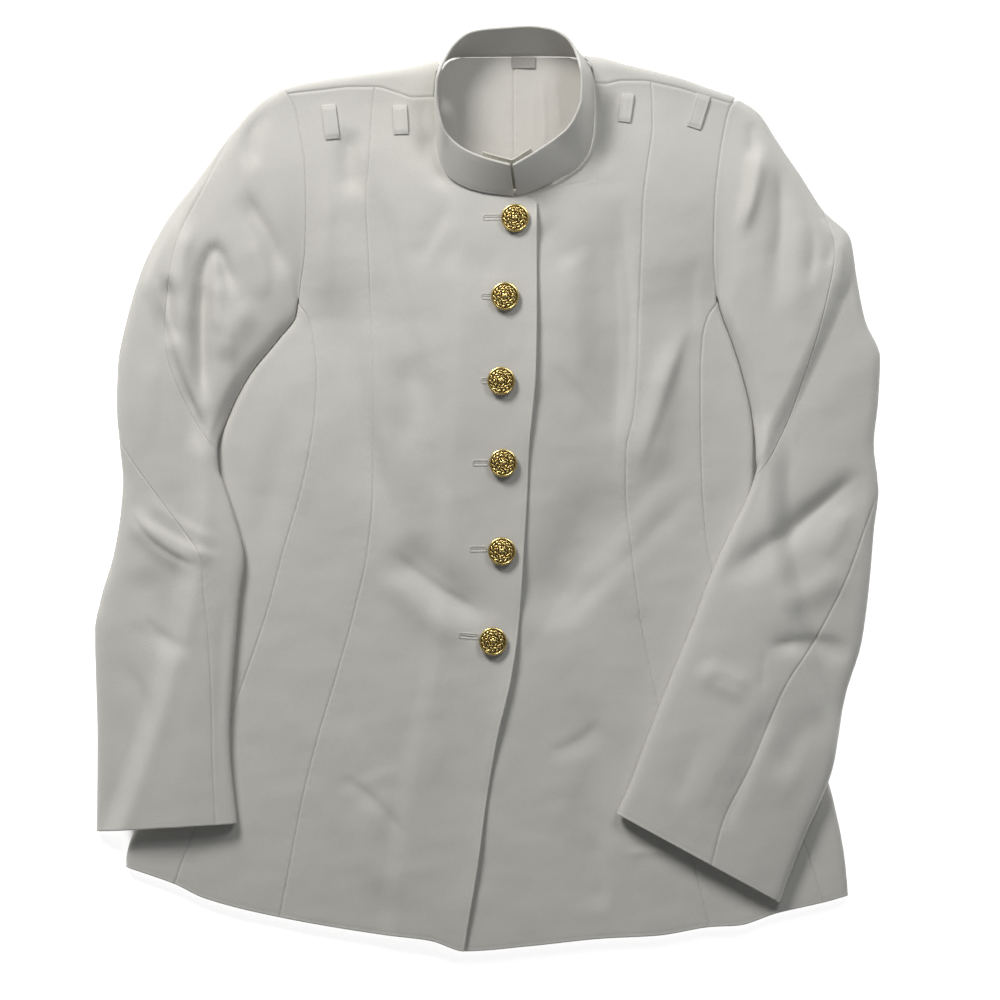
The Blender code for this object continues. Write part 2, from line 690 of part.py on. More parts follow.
def back_panel(name, edge, sleeve, side, neck_strip, material):
    """A back half: flat on the floor, then folded forward over the shoulder to its seam.

    Rows run from -1 at the shoulder seam over the fold to 0 on the floor, and on to 1 at
    the hem.
    """
    armhole = back_armhole(edge, sleeve)

    def fold_radius(x):
        return (shoulder_z(x) - FLOOR_MID) / 2

    def contact(x):
        return np.where(side * x < side * neck_strip,
                        BACK_NECK - (BACK_NECK - fold_y(neck_strip) + fold_radius(neck_strip))
                        * smooth((side * x - side * neck_strip + 26.0) / 26.0),
                        fold_y(x) - fold_radius(x))

    def surface(k, x):
        radius = fold_radius(x)
        seam_in = fold_y(x) - shoulder_y(x) - SEAM_GAP / 2
        arc_seam = seam_in - radius + radius * math.pi / 2
        share = np.clip(-k, 0.0, 1.0 + 1e-3)
        arc = -radius * math.pi / 2 + share * (arc_seam + radius * math.pi / 2)
        inward, rise = fold_round(arc, radius)
        folded_y = fold_y(x) - inward
        folded_z = FLOOR_MID + radius + rise
        top = contact(x)
        floor_y = top * (1 - k) + hem_y(x) * k
        y = np.where(k < 0, folded_y, floor_y)
        z = np.where(k < 0, folded_z, FLOOR_MID)
        return np.stack((x, y, z), axis=-1)

    def y_of(k, x):
        return float(surface(np.array([k]), np.array([x]))[0, 1])

    def outer_line(k):
        def line(y):
            if k < -0.45:
                return float(LINE[edge](y))
            if y > ARMPIT:
                lower = float(smooth((ARMPIT + ARMPIT_RUN - y) / ARMPIT_RUN))
                return float(armhole(y)) - side * (BACK_HIDDEN_GAP + ARMPIT_GAP * lower)
            return float(LINE[edge](y)) - side * (float(under_reach(y)) + BACK_HIDDEN_GAP)
        return line

    def ends(k):
        outer = solve_x(lambda x: y_of(k, x), outer_line(k)) - side * SEAM_GAP / 2
        if k < 0:
            inner = neck_strip
        else:
            inner = solve_x(lambda x: y_of(k, x), lambda y: float(centre_back(y))) + side * SEAM_GAP / 2
        return tuple(sorted((outer, inner)))

    def shared_ends(k):
        outer = solve_x(lambda x: y_of(k, x), outer_line(k)) - side * SEAM_GAP / 2
        return tuple(sorted((outer, neck_strip)))

    # The strip has the fronts' own column lines, so that both sides of the seam match
    princess = float(LINE[edge.replace("edge", "princess")](shoulder_y(side * 110.0)))
    fine = shared_columns(princess)
    coarse = [c for c in column_lines(BACK_COLUMN) if abs(c - neck_strip) > 9.0]
    strip = sheet(surface, STRIP_ROWS, shared_ends, fine, 3.0)
    floor = sheet(surface, BACK_ROWS, ends,
                  lambda k: fine if k == 0 else coarse, 3.0)
    return wall_object(name, joined((strip, floor)), CLOTH, material)


class Sleeve:
    """A flattened tube from the armhole to the cuff, which lies on the floor and the body."""

    def __init__(self, rows, edge, side, folds, step):
        count = len(rows)
        self.last = count - 1.0
        self.at = {name: curve(range(count), [row[i] for row in rows])
                   for i, name in enumerate(SLEEVE_COLUMNS)}
        self.edge = edge
        self.side = side
        self.folds = folds
        self.step = step

    def inner_edge(self, u):
        """Inner edge in plan, kept beside the body's edge down to where it climbs over it."""
        x = self.at["inner_x"](u)
        y = self.at["inner_y"](u)
        beside = LINE[self.edge](y) + self.side * BESIDE
        further = np.where(self.side * beside > self.side * x, beside, x)
        further = x + (further - x) * smooth(u / 0.25)
        climbed = smooth((LIFT_FROM - LIFT_OVER + 4.0 - y) / 12.0)
        return further * (1 - climbed) + x * climbed, y

    def lower_height(self, x, y):
        """Mid-surface of the underside: the floor, or just clear of the body's front."""
        inside = self.side * (LINE[self.edge](y) - x)
        over = smooth((LIFT_FROM - y) / LIFT_OVER) * smooth((inside + LIFT_START) / LIFT_RUN)
        nearest = np.where(inside < 0, LINE[self.edge](y), x)
        hem = smooth((y - hem_y(nearest) + 14.0) / 13.0)
        return FLOOR_MID + over * hem * (plain_height(nearest, y) + CLOTH / 2 + CLEARANCE)

    def surface(self, u, turn):
        turn = np.mod(turn, 2.0)
        top = turn <= 1.0
        share = np.where(top, turn, 2.0 - turn)
        outer_x = self.at["outer_x"](u)
        outer_y = self.at["outer_y"](u)
        inner_x, inner_y = self.inner_edge(u)
        width = np.hypot(inner_x - outer_x, inner_y - outer_y)
        radius = SLEEVE_EDGE
        half_girth = width - 2 * radius + math.pi * radius
        from_outer = share * half_girth
        from_inner = half_girth - from_outer
        nearer = np.minimum(from_outer, from_inner)
        inward, rise = fold_round(nearer, radius)
        v = np.where(from_outer < from_inner, inward, width - inward) / width
        x = outer_x + (inner_x - outer_x) * v
        y = outer_y + (inner_y - outer_y) * v
        joining = np.clip(1 - u / ARMHOLE_REACH, 0.0, 1.0) ** 2
        hole_y = self.at["outer_y"](0.0) + (self.at["inner_y"](0.0) - self.at["outer_y"](0.0)) * v
        hole_x = self.at["outer_x"](0.0) + (self.at["inner_x"](0.0) - self.at["outer_x"](0.0)) * v
        bulge = (LINE[self.edge](hole_y) - hole_x) * 4 * v * (1 - v) / np.maximum(4 * v * (1 - v), 0.05)
        x = x + joining * np.where(top, 1.0, BACK_ARMHOLE_SHARE) * bulge
        x = x + self.side * joining * ARMHOLE_GAP
        base = self.lower_height(x, y)
        crown = self.at["crown"](u) * np.maximum(4 * v * (1 - v), 1e-6) ** 0.8
        detail = folds_height(self.folds, x, y) + step_height(self.step, x, y, self.side)
        detail = detail * smooth(inward / 14.0)
        own = crown + detail
        body = plain_height(x, y) - (FLOOR_MID + 2 * radius)
        leaving = smooth(u / 2.2)
        above = body * (1 - leaving) + own * leaving
        above = above * (1 - leaving + leaving * smooth(inward / (2 * radius)))
        # The two skins keep room between them in every trough
        above = np.maximum(above, SKIN_ROOM - 2 * radius)
        z = base + radius + np.where(top, rise + above, -rise)
        return np.stack((x, y, z), axis=-1)

    def rows(self):
        """Sections along the sleeve, close together where a seam rounds the edge of the tube."""
        rows = [0.0]
        while rows[-1] < self.last - 1e-6:
            step = SLEEVE_ROW
            while step > SLEEVE_CLOSE_ROW and self.seam_moves(rows[-1], rows[-1] + step):
                step *= 0.8
            rows.append(min(rows[-1] + step, self.last))
        return rows

    def seam_moves(self, u, further):
        """Whether a sleeve seam runs too far over the tube's rounded edge between two sections."""
        for seam in ("seam_a", "seam_b"):
            here = float(self.at[seam](u))
            there = float(self.at[seam](further))
            near = min(abs(here - round(here)), abs(there - round(there))) < EDGE_ZONE
            crossed = math.floor(here) != math.floor(there)
            if abs(there - here) > (EDGE_STEP if near or crossed else OPEN_STEP):
                return True
        return False

    def piece(self, name, first, last, turns, material):
        """The cloth between two seams, each given by its column and whole turns added."""
        def seam(column, u):
            """A seam's place, and half its gap, wider where it runs aslant."""
            here, before, after = (float(self.at[column](u + d)) for d in (0.0, -SLANT_STEP, SLANT_STEP))
            slant = (after - before) / (2 * SLANT_STEP) * GIRTH_HALF / SECTION_APART
            return here, math.hypot(1.0, slant) * SLEEVE_SEAM / 2 / GIRTH_HALF

        def ends(u):
            a, gap_a = seam(first, u)
            b, gap_b = seam(last, u)
            return a + 2.0 * turns[0] + gap_a, b + 2.0 * turns[1] - gap_b

        def seams(u):
            return seam(first, u)[0] + 2.0 * turns[0], seam(last, u)[0] + 2.0 * turns[1]

        near_edge = (0.0, 0.035, 0.93, 0.965, 1.0, 1.035, 1.07, 1.93, 1.965)
        over = tuple(0.07 + 0.86 * k / 6 for k in range(1, 6))
        under = tuple(1.07 + 0.86 * k / 4 for k in range(1, 4))
        ring = sorted(near_edge + over + under)
        columns = sorted(c + 2.0 * n for c in ring for n in (-1, 0, 1))
        rows = self.rows()
        cut = sheet(lambda u, c: self.surface(np.clip(u, 0, self.last), c), rows, ends, columns, 0.012, seams)
        return wall_object(name, cut, CLOTH, material)


def collar_seam_z(x, y):
    """The band's bottom: on the fronts, and down beside the shoulder to the back's neck."""
    on_front = plain_height(x, y) + CLOTH / 2 + COLLAR_SEAT + LAP_LIFT
    start = shoulder_y(x) + COLLAR_DOWN_FROM
    down = smooth((y - start) / (COLLAR_DOWN_TO - start))
    return on_front * (1 - down) + COLLAR_FLOOR * down


def band_surface(stations, inward):
    """A leaning band over a list of collar stations, moved in square to itself."""
    at = {name: curve(range(len(stations)), [row[i] for row in stations])
          for i, name in enumerate(COLLAR_COLUMNS)}

    def surface(k, h):
        seam_x, seam_y, top_x, top_y = (at[name](k) for name in COLLAR_COLUMNS)
        bottom = collar_seam_z(seam_x, seam_y)
        lean = np.hypot(top_x - seam_x, top_y - seam_y)
        rise = np.sqrt(COLLAR_HEIGHT ** 2 - lean ** 2)
        move = inward * rise / (COLLAR_HEIGHT * lean)
        x = seam_x + (top_x - seam_x) * (h + move)
        y = seam_y + (top_y - seam_y) * (h + move)
        return np.stack((x, y, bottom + rise * h - inward * lean / COLLAR_HEIGHT), axis=-1)

    return surface


def collar_band(name, material):
    """The stand collar, from its right front end round the neck to the left one."""
    rows = even_rows(0.0, len(COLLAR) - 1.0, COLLAR_POINTS)
    columns = [h / COLLAR_HEIGHT_STEPS for h in range(COLLAR_HEIGHT_STEPS + 1)]
    cut = sheet(band_surface(COLLAR, 0.0), rows, lambda k: (0.0, 1.0), columns, 0.05)
    return wall_object(name, cut, COLLAR_WALL, material)


def collar_underlap(name, material):
    """The strip behind the collar's opening, which shows a little above the band."""
    stations = COLLAR[UNDERLAP_STATIONS - 1::-1] + COLLAR[:-UNDERLAP_STATIONS - 1:-1]
    inward = COLLAR_WALL / 2 + UNDERLAP_GAP + UNDERLAP_WALL / 2
    rows = even_rows(UNDERLAP_ENDS, len(stations) - 1.0 - UNDERLAP_ENDS, 12)
    cut = sheet(band_surface(stations, inward), rows, lambda k: (UNDERLAP_FROM, UNDERLAP_TO), [0.6], 0.05)
    return wall_object(name, cut, UNDERLAP_WALL, material)


def neck_line(right):
    """Neck edge of a front: the collar's seam moved in under the band."""
    stations = COLLAR[:9] if right else COLLAR[:-9:-1]
    centre_x, centre_y = NECK_CENTRE
    xs = []
    ys = []
    for seam_x, seam_y, _, _ in stations:
        reach = math.hypot(seam_x - centre_x, seam_y - centre_y)
        inward = 1 - COLLAR_LAP / reach
        xs.append(centre_x + (seam_x - centre_x) * inward)
        ys.append(centre_y + (seam_y - centre_y) * inward)
    return xs, ys


def front_opening_line(right):
    """Neck edge and then the front edge, as x against the level y."""
    xs, ys = neck_line(right)
    if right:
        corner_x = float(LINE["opening"](CORNER_LEVELS[0]))
        xs = [corner_x, corner_x - CORNER_WIDTH] + xs
        ys = list(CORNER_LEVELS) + ys
        xs[len(CORNER_LEVELS)], ys[len(CORNER_LEVELS)] = NECK_START
    edge_shift = 0.0 if right else -LAP_WIDTH
    neck = curve(ys, xs)
    low = min(ys)

    def at(y):
        return np.where(y > low, neck(y), LINE["opening"](y) + edge_shift)

    return at


def button(name, x, y, material):
    seat = float(lapped_height(np.array([x]), np.array([y]))[0]) + CLOTH / 2 + SEAT_GAP
    points = []
    faces = []
    for radius, height in BUTTON_PROFILE:
        for k in range(BUTTON_SIDES):
            angle = 2 * math.pi * k / BUTTON_SIDES
            points.append((x + radius * math.cos(angle), y + radius * math.sin(angle), seat + height))
    base = len(points)
    points.append((x, y, seat))
    points.append((x, y, seat + BUTTON_TOP))
    for k in range(BUTTON_SIDES):
        n = (k + 1) % BUTTON_SIDES
        faces.append((base, n, k))
        for ring in range(len(BUTTON_PROFILE) - 1):
            a = ring * BUTTON_SIDES
            faces.append((a + k, a + n, a + BUTTON_SIDES + n, a + BUTTON_SIDES + k))
        last = (len(BUTTON_PROFILE) - 1) * BUTTON_SIDES
        faces.append((last + k, last + n, base + 1))
    return mesh_object(name, points, faces, material)


def shoulder_loop(name, x, y, width, length, lean, material):
    """A flat strap sewn down at both ends, made from the panel's points moved out."""
    angle = math.radians(lean)

    def surface(t, s):
        px = x + s * math.cos(angle) - (0.5 - t) * length * -math.sin(angle)
        py = y + s * math.sin(angle) + (0.5 - t) * length * math.cos(angle)
        arch = LOOP_ARCH * smooth(t / 0.3) * smooth((1 - t) / 0.3)
        z = front_height(px, py) + CLOTH / 2 + LOOP_WALL / 2 + SEAT_GAP + arch
        return np.stack((px, py, z), axis=-1)

    rows = even_rows(0.0, 1.0, 6)
    cut = sheet(surface, rows, lambda t: (-width / 2, width / 2), [0.0], 1.0)
    return wall_object(name, cut, LOOP_WALL, material)


def neck_lining(name, right, material):
    right_x = table_curve(LINING_SIDES, LINING_COLUMNS, "y", "right_x")
    left_x = table_curve(LINING_SIDES, LINING_COLUMNS, "y", "left_x")
    height = CLOTH + SEAT_GAP + LINING / 2

    def surface(y, x):
        return np.stack((x, y, np.full(np.shape(x), height)), axis=-1)

    def ends(y):
        if right:
            return float(right_x(y)), LINING_SEAM - SEAM_GAP / 2
        return LINING_SEAM + SEAM_GAP / 2, float(left_x(y))

    rows = even_rows(LINING_SIDES[-1][0], LINING_BOTTOM, 7)
    cut = sheet(surface, rows, ends, column_lines(24.0), 6.0)
    return wall_object(name, cut, LINING, material)


def hanger_loop(name, material):
    """A small blank tab that lies on the lining below the collar at the back."""
    def surface(h, x):
        y = HANGER_LOW[0] + (HANGER_HIGH[0] - HANGER_LOW[0]) * h
        z = HANGER_LOW[1] + (HANGER_HIGH[1] - HANGER_LOW[1]) * h
        return np.stack((x, y, z), axis=-1)

    sides = (HANGER_X - HANGER_WIDTH / 2, HANGER_X + HANGER_WIDTH / 2)
    cut = sheet(surface, [1.0, 0.5, 0.0], lambda h: sides, [], 1.0)
    return wall_object(name, cut, HANGER_WALL, material)


def build():
    for piece in list(bpy.data.objects):
        bpy.data.objects.remove(piece)
    white = plain_material("white_twill", (0.80, 0.79, 0.76), 0.8)
    satin = plain_material("white_satin", (0.83, 0.81, 0.78), 0.45)
    gilt = plain_material("gilt_brass", (0.83, 0.60, 0.22), 0.25, 1.0)

    opening_right = front_opening_line(True)
    opening_left = front_opening_line(False)
    front_panel("front_side_right", LINE["seam_right"], LINE["princess_right"], front_height, white)
    front_panel("front_centre_right", LINE["princess_right"], opening_right, lapped_height, white)
    front_panel("front_centre_left", opening_left, LINE["princess_left"], front_height, white)
    front_panel("front_side_left", LINE["princess_left"], LINE["seam_left"], front_height, white)
    underarm_panel("underarm_right", "edge_right", "seam_right", -1, white)
    underarm_panel("underarm_left", "edge_left", "seam_left", 1, white)
    back_panel("back_right", "edge_right", SLEEVE_RIGHT, -1, NECK_STRIP_RIGHT, white)
    back_panel("back_left", "edge_left", SLEEVE_LEFT, 1, NECK_STRIP_LEFT, white)
    for word, rows, side, folds, step in (("right", SLEEVE_RIGHT, -1, SLEEVE_FOLDS_RIGHT, STEP_RIGHT),
                                          ("left", SLEEVE_LEFT, 1, SLEEVE_FOLDS_LEFT, STEP_LEFT)):
        sleeve = Sleeve(rows, "edge_" + word, side, folds, step)
        sleeve.piece("under_sleeve_" + word, "seam_a", "seam_b", (0, 0), white)
        sleeve.piece("upper_sleeve_" + word, "seam_b", "seam_a", (0, 1), white)
    collar_band("collar", white)
    collar_underlap("collar_underlap", white)
    neck_lining("neck_lining_right", True, satin)
    neck_lining("neck_lining_left", False, satin)
    hanger_loop("hanger_loop", satin)
    for name, x, y, width, length, lean in LOOPS:
        shoulder_loop(name, x, y, width, length, lean, white)
    for number, (x, y) in enumerate(BUTTONS, start=1):
        button("button_%d" % number, x, y, gilt)


build()
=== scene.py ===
"""Naval dress tunic with a stand collar, laid flat on its back: its cloth, sewing and buttons.

Tables hold millimetres and meshes are made in metres. The hem lies towards -Y and the
wearer's right at -X. Every cloth piece is a thin shell on the form of its own solid.
"""
import math

import bpy
import numpy as np
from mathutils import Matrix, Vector


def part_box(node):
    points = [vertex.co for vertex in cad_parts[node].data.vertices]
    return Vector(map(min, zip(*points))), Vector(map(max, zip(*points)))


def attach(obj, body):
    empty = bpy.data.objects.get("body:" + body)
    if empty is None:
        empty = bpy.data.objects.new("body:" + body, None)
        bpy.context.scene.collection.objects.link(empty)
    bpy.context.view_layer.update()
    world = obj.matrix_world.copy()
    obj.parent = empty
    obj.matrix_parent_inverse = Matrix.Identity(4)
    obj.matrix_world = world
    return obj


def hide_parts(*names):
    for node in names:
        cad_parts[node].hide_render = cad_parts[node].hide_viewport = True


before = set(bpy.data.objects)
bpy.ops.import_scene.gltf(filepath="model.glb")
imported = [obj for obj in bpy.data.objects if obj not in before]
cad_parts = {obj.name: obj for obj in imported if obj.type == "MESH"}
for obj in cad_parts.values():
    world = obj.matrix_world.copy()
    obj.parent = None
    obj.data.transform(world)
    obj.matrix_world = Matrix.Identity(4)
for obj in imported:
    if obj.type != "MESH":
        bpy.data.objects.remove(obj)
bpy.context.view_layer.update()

MM = 0.001

# Cloth, seams and the room between the layers
CLOTH = 1.6
SEAM_GAP = 0.06
CLEARANCE = 1.1
FLOOR_MID = CLOTH / 2
LIP = (0.0, 0.3, 0.8, 1.6, 2.4, 3.2)
ALL_ROUND = ("first", "last", "top", "bottom")
STITCH_INSET = 2.4
SEAM_DEPTH = 0.55
SEAM_WIDTH = 0.75
SEAM_SWELL = 0.4
SWELL_INSET = 3.0
SWELL_WIDTH = 2.0
PUCKER = 0.3
PUCKER_LENGTH = 8.5
PUCKER_SWAY = 37.0
STITCH_PULL = 0.16
STITCH_WIDTH = 0.6
LEAST_HALF_WALL = 0.08

# Share of the wall that a turned edge thins over, and how far it thins
TURN_WIDTH = 0.6
TURN_DEPTH = 0.33

# Ease of the folds and creases towards their ends, and their uneven sides
FOLD_ENDS = 0.3
CREASE_ENDS = 0.28
CREASE_SIDES = (0.8, 1.5)
LINING_ENDS = 0.2

# Shortest side, in metres, that the size of a cut is worked out with
LEAST_CUT = 0.0101

# Spacing of the points on the cloth
FINE = 2.5
COARSE = 5.0

# Body
LAP_WIDTH = 42.0
LAP_LIFT = CLOTH + 0.5
LAP_START = 34.0
LAP_RUN = 18.0
SIDE_FADE = 16.0
TOP_FADE = 14.0
SHOULDER_EASE = 62.0
UNDERSIDE_REACH = 46.0
UNDERSIDE_LEAST = 3.0
UNDERSIDE_RUN = 90.0
UNDERARM_END = -330.0
NECK_STRIP_RIGHT = -44.0
NECK_STRIP_LEFT = 87.5
BACK_NECK = 342.6
ARMPIT = 150.0
ARMHOLE_REACH = 2.6
BACK_ARMHOLE_SHARE = 0.5
BACK_HIDDEN_GAP = 2.4
ARMPIT_RUN = 24.0
ARMPIT_GAP = 3.0
NECK_CONTACT_RUN = 26.0
ROLL_FROM = 0.3
ROLL_RUN = 0.3
NECK_END_FROM = 0.25
NECK_END_RUN = 0.12

# Sleeves
SLEEVE_EDGE = 4.0
SLEEVE_SEAM = 0.06
ARMHOLE_GAP = 0.05
GIRTH_HALF = 110.0
BESIDE = 1.95
DRAWN_IN = 3.0
SKIN_ROOM = CLOTH + 0.8
LIFT_FROM = 62.0
LIFT_OVER = 40.0
LIFT_START = 30.0
LIFT_RUN = 22.0
CLIMB_AHEAD = 4.0
CLIMB_RUN = 12.0
HEM_AHEAD = 14.0
HEM_RUN = 13.0
BESIDE_FROM = 0.25
LEAVING = 2.2
SLEEVE_TOP_FADE = 12.0
SLEEVE_UNDER_FADE = 14.0

# Collar, lining and tab
COLLAR_HEIGHT = 35.0
COLLAR_WALL = 2.4
COLLAR_LAP = 2.6
COLLAR_FLOOR = 1.9
COLLAR_SEAT = 0.9
COLLAR_BESIDE = 2.0
COLLAR_DOWN_FROM = 1.5
COLLAR_DOWN_TO = 345.0
NECK_CENTRE = (21.5, 292.0)
UNDERLAP_WALL = 1.4
UNDERLAP_STATIONS = 3
UNDERLAP_GAP = 0.9
UNDERLAP_ENDS = 0.5
UNDERLAP_FROM = 0.14
UNDERLAP_TO = 1.09
SEAT_GAP = 0.35

# Top corner of the right front: the level of its edge, the two levels that round it, its
# width, and where the neck edge starts
CORNER_EDGE = 228.0
CORNER_LEVELS = (229.0, 231.5)
CORNER_WIDTH = 4.0
NECK_START = (30.0, 234.0)

# Shoulder loops, and the thickness of the lining
LOOP_WALL = 1.2
LOOP_ARCH = 0.9
LOOP_RISE = 0.16
LOOP_SEAT = 0.15
LOOP_STITCH = 0.06
LINING = 1.0

# Lines down the body: where each one crosses the level y
BODY_LINES_COLUMNS = ("y", "edge_right", "seam_right", "princess_right", "opening",
                      "princess_left", "seam_left", "edge_left")
BODY_LINES = (
    (325, -167, -167, -90, 39.6, 131, 208, 208),
    (305, -154.5, -154.5, -92, 39.6, 132, 194, 194),
    (290, -151, -151, -93, 39.6, 132, 190, 190),
    (260, -146, -146, -95, 39.6, 128, 185, 185),
    (230, -145, -145, -97, 39.6, 124.5, 182, 182),
    (190, -146, -146, -95, 39.6, 123, 181, 181),
    (165, -149.5, -149.5, -94, 39.6, 122, 182.5, 182.5),
    (150, -151.5, -151, -93.5, 39.6, 121.5, 183, 184),
    (138, -153, -144.5, -93, 39.6, 121, 176.5, 187),
    (120, -166, -139.5, -92.5, 39.4, 120.5, 172, 194),
    (90, -190, -136.5, -91.5, 38.6, 119.5, 170.5, 203.5),
    (60, -205.5, -138, -91.5, 36, 117, 170.5, 210.5),
    (30, -215, -142.5, -91.5, 33.4, 111, 171, 213.5),
    (0, -214, -149, -91.5, 32.2, 110.5, 172, 213),
    (-50, -218, -163.5, -96, 29.2, 115.5, 176.5, 217),
    (-100, -227, -177, -107, 26, 122, 191, 228),
    (-150, -240, -194, -121, 19.5, 131.5, 208, 243),
    (-200, -255, -211, -136, 8, 143, 224.5, 261),
    (-250, -272, -228, -148.5, -0.6, 154.5, 241, 276.5),
    (-300, -289, -245, -158, -7.3, 165.5, 259, 286),
    (-350, -289, -262, -168, -15.5, 178, 276, 290),
    (-380, -289, -272, -175, -20.5, 185, 286, 292),
)

# Height of the front's mid-surface at the level y: at the side, at 0.7 and 0.35 of the half
# width, and in the middle
CROWN_COLUMNS = ("y", "edge", "outer", "inner", "middle")
CROWN = (
    (325, 8.8, 11.5, 13.5, 15),
    (290, 12, 15.5, 18.5, 19.5),
    (260, 14, 18, 22, 23.5),
    (230, 15, 20, 24.5, 26.5),
    (190, 13, 20.5, 26, 28.5),
    (165, 10, 19, 26.5, 29.5),
    (150, 8.6, 18, 26.5, 29.5),
    (120, 8.4, 17, 26, 29),
    (60, 8.4, 15.5, 23.5, 26.5),
    (0, 8.4, 14, 20, 22.5),
    (-60, 8.4, 12.5, 17, 19),
    (-120, 8.2, 11.5, 14.5, 16),
    (-200, 7.8, 10.2, 12.2, 13.2),
    (-300, 7.2, 8.8, 9.8, 10.4),
    (-380, 6.8, 7.8, 8.6, 9.0),
)
CROWN_SHARES = (1.0, 0.7, 0.35, 0.0)

# Bottom edge and, at the top, the shoulder fold and the shoulder seam
HEM_COLUMNS = ("x", "y")
HEM = (
    (-290, -303), (-250, -317), (-227, -328), (-168, -343), (-86, -357), (-46, -362),
    (-18, -370.5), (33, -366.5), (90, -360.5), (136, -358), (180, -351), (200, -350),
    (232, -340), (271, -331), (292, -325),
)
SHOULDER_COLUMNS = ("x", "fold_y", "seam_y", "seam_z")
SHOULDER = (
    (-176, 315.5, 309.5, 8.6), (-160, 321, 316, 8.8), (-138, 326, 318.5, 10.4), (-108, 330.5, 321.5, 12.6),
    (-90, 333, 321.5, 13.6), (-72, 335.5, 316.8, 14.6), (-59, 338, 313, 15.2), (-43, 342, 313.5, 15.6),
    (20, 350, 318, 16.0), (83, 346, 324.5, 15.6), (94, 344, 324, 15.2), (108, 340, 326.5, 13.6),
    (123, 336.5, 326.5, 12.2), (141, 332, 323.5, 11.4), (156, 328, 320, 10.2), (174, 321.5, 314.5, 9.4),
    (200, 312.5, 306.5, 8.8), (214, 305, 299, 8.6),
)

# Collar stations, from its right front end round the back of the neck to its left front end:
# plan position of the neck seam and of the top edge
COLLAR_COLUMNS = ("seam_x", "seam_y", "top_x", "top_y")
COLLAR = (
    (21, 234, 18, 258), (5, 235.5, 3, 262), (-9, 238, -10, 266.5), (-21, 242.5, -20.5, 272),
    (-31, 250, -29.5, 279.5), (-37.5, 262, -35.5, 288), (-40, 279, -39, 300), (-41, 297, -41, 312),
    (-41.3, 313, -40.5, 325), (-40, 329, -37, 336), (-36, 341, -31.5, 347), (-26, 346.3, -25, 356),
    (-10, 346.6, -15, 364), (5, 346.6, -3, 367), (21, 346.8, 14, 368.5), (38, 347, 33, 369.7),
    (54, 347, 50, 367.5), (68, 346.6, 61.5, 361.5), (78, 343, 68.5, 352.5), (83, 333, 72.5, 341),
    (84.6, 318, 75, 326), (84.8, 302, 74.5, 311), (84, 285, 70.5, 298.5), (80.5, 269, 64, 288),
    (72, 257.5, 53.5, 279), (58, 248.5, 42, 271), (42, 240.5, 31, 264), (23.4, 234, 20.2, 257.5),
)

# Sleeve sections from the armhole to the cuff: the outer and inner edge in plan, the height
# of the crown between them, and where the two sleeve seams cross. A seam's place counts
# from 0 at the outer edge over the top to 1 at the inner edge, and on to 2 underneath.
SLEEVE_COLUMNS = ("outer_x", "outer_y", "inner_x", "inner_y", "crown", "seam_a", "seam_b")
SLEEVE_RIGHT = (
    (-164, 320, -152.5, 151.5, 8.0, -0.78, -0.05),
    (-181, 309.5, -154, 138, 9.0, -0.76, -0.03),
    (-203.5, 285.5, -164, 124, 9.0, -0.73, 0.01),
    (-230, 249.5, -177.5, 108, 9.0, -0.68, 0.07),
    (-257, 213.5, -188.5, 96, 8.5, -0.61, 0.14),
    (-275, 179, -196, 82, 8.0, -0.52, 0.25),
    (-287.5, 139, -205.5, 64.5, 7.5, -0.40, 0.37),
    (-295.5, 99, -215, 44.5, 7.0, -0.27, 0.70),
    (-296.5, 67, -217, 31, 6.5, -0.12, 0.96),
    (-294, 35, -216, 17, 6.0, 0.05, 1.08),
    (-291.5, 7, -210, -1, 6.0, 0.25, 1.20),
    (-293, -16, -203, -22.5, 6.0, 0.43, 1.30),
    (-299, -53, -195.5, -55.5, 6.0, 0.66, 1.42),
    (-309, -87.5, -199, -86, 5.5, 0.74, 1.50),
    (-314, -117, -202, -121, 5.5, 0.80, 1.56),
    (-312, -201, -207, -198, 5.0, 0.86, 1.60),
    (-312.5, -274.5, -201, -268, 4.5, 0.84, 1.60),
)
SLEEVE_LEFT = (
    (201, 311.5, 184.5, 152, 8.0, -0.80, -0.08),
    (216, 301.5, 187.5, 143, 9.0, -0.79, -0.08),
    (231, 279, 191, 131, 9.0, -0.78, -0.07),
    (250, 251, 196, 116.5, 9.0, -0.76, -0.05),
    (269, 222, 202, 101.5, 8.5, -0.74, 0.02),
    (290, 200.5, 207.5, 83, 8.0, -0.68, 0.16),
    (295.5, 167, 212, 63, 7.5, -0.58, 0.36),
    (302, 135, 215.5, 42, 7.0, -0.44, 0.60),
    (314, 104.5, 217, 22, 6.5, -0.30, 0.83),
    (312.5, 71, 213, 5, 6.0, -0.18, 1.02),
    (309, 35, 206, -13, 6.0, -0.08, 1.13),
    (312.5, -1, 196.5, -31.5, 6.0, 0.02, 1.20),
    (309, -33, 187.5, -50.5, 6.0, 0.08, 1.24),
    (306, -69, 178, -71.5, 6.0, 0.15, 1.28),
    (299.5, -121, 164.5, -108, 5.5, 0.27, 1.33),
    (286, -166.5, 149, -146, 5.0, 0.36, 1.36),
    (275.5, -223.5, 127.5, -201, 5.0, 0.42, 1.36),
    (251, -283.5, 114, -237, 4.5, 0.45, 1.32),
    (233, -330.5, 103.5, -260, 4.5, 0.42, 1.30),
)
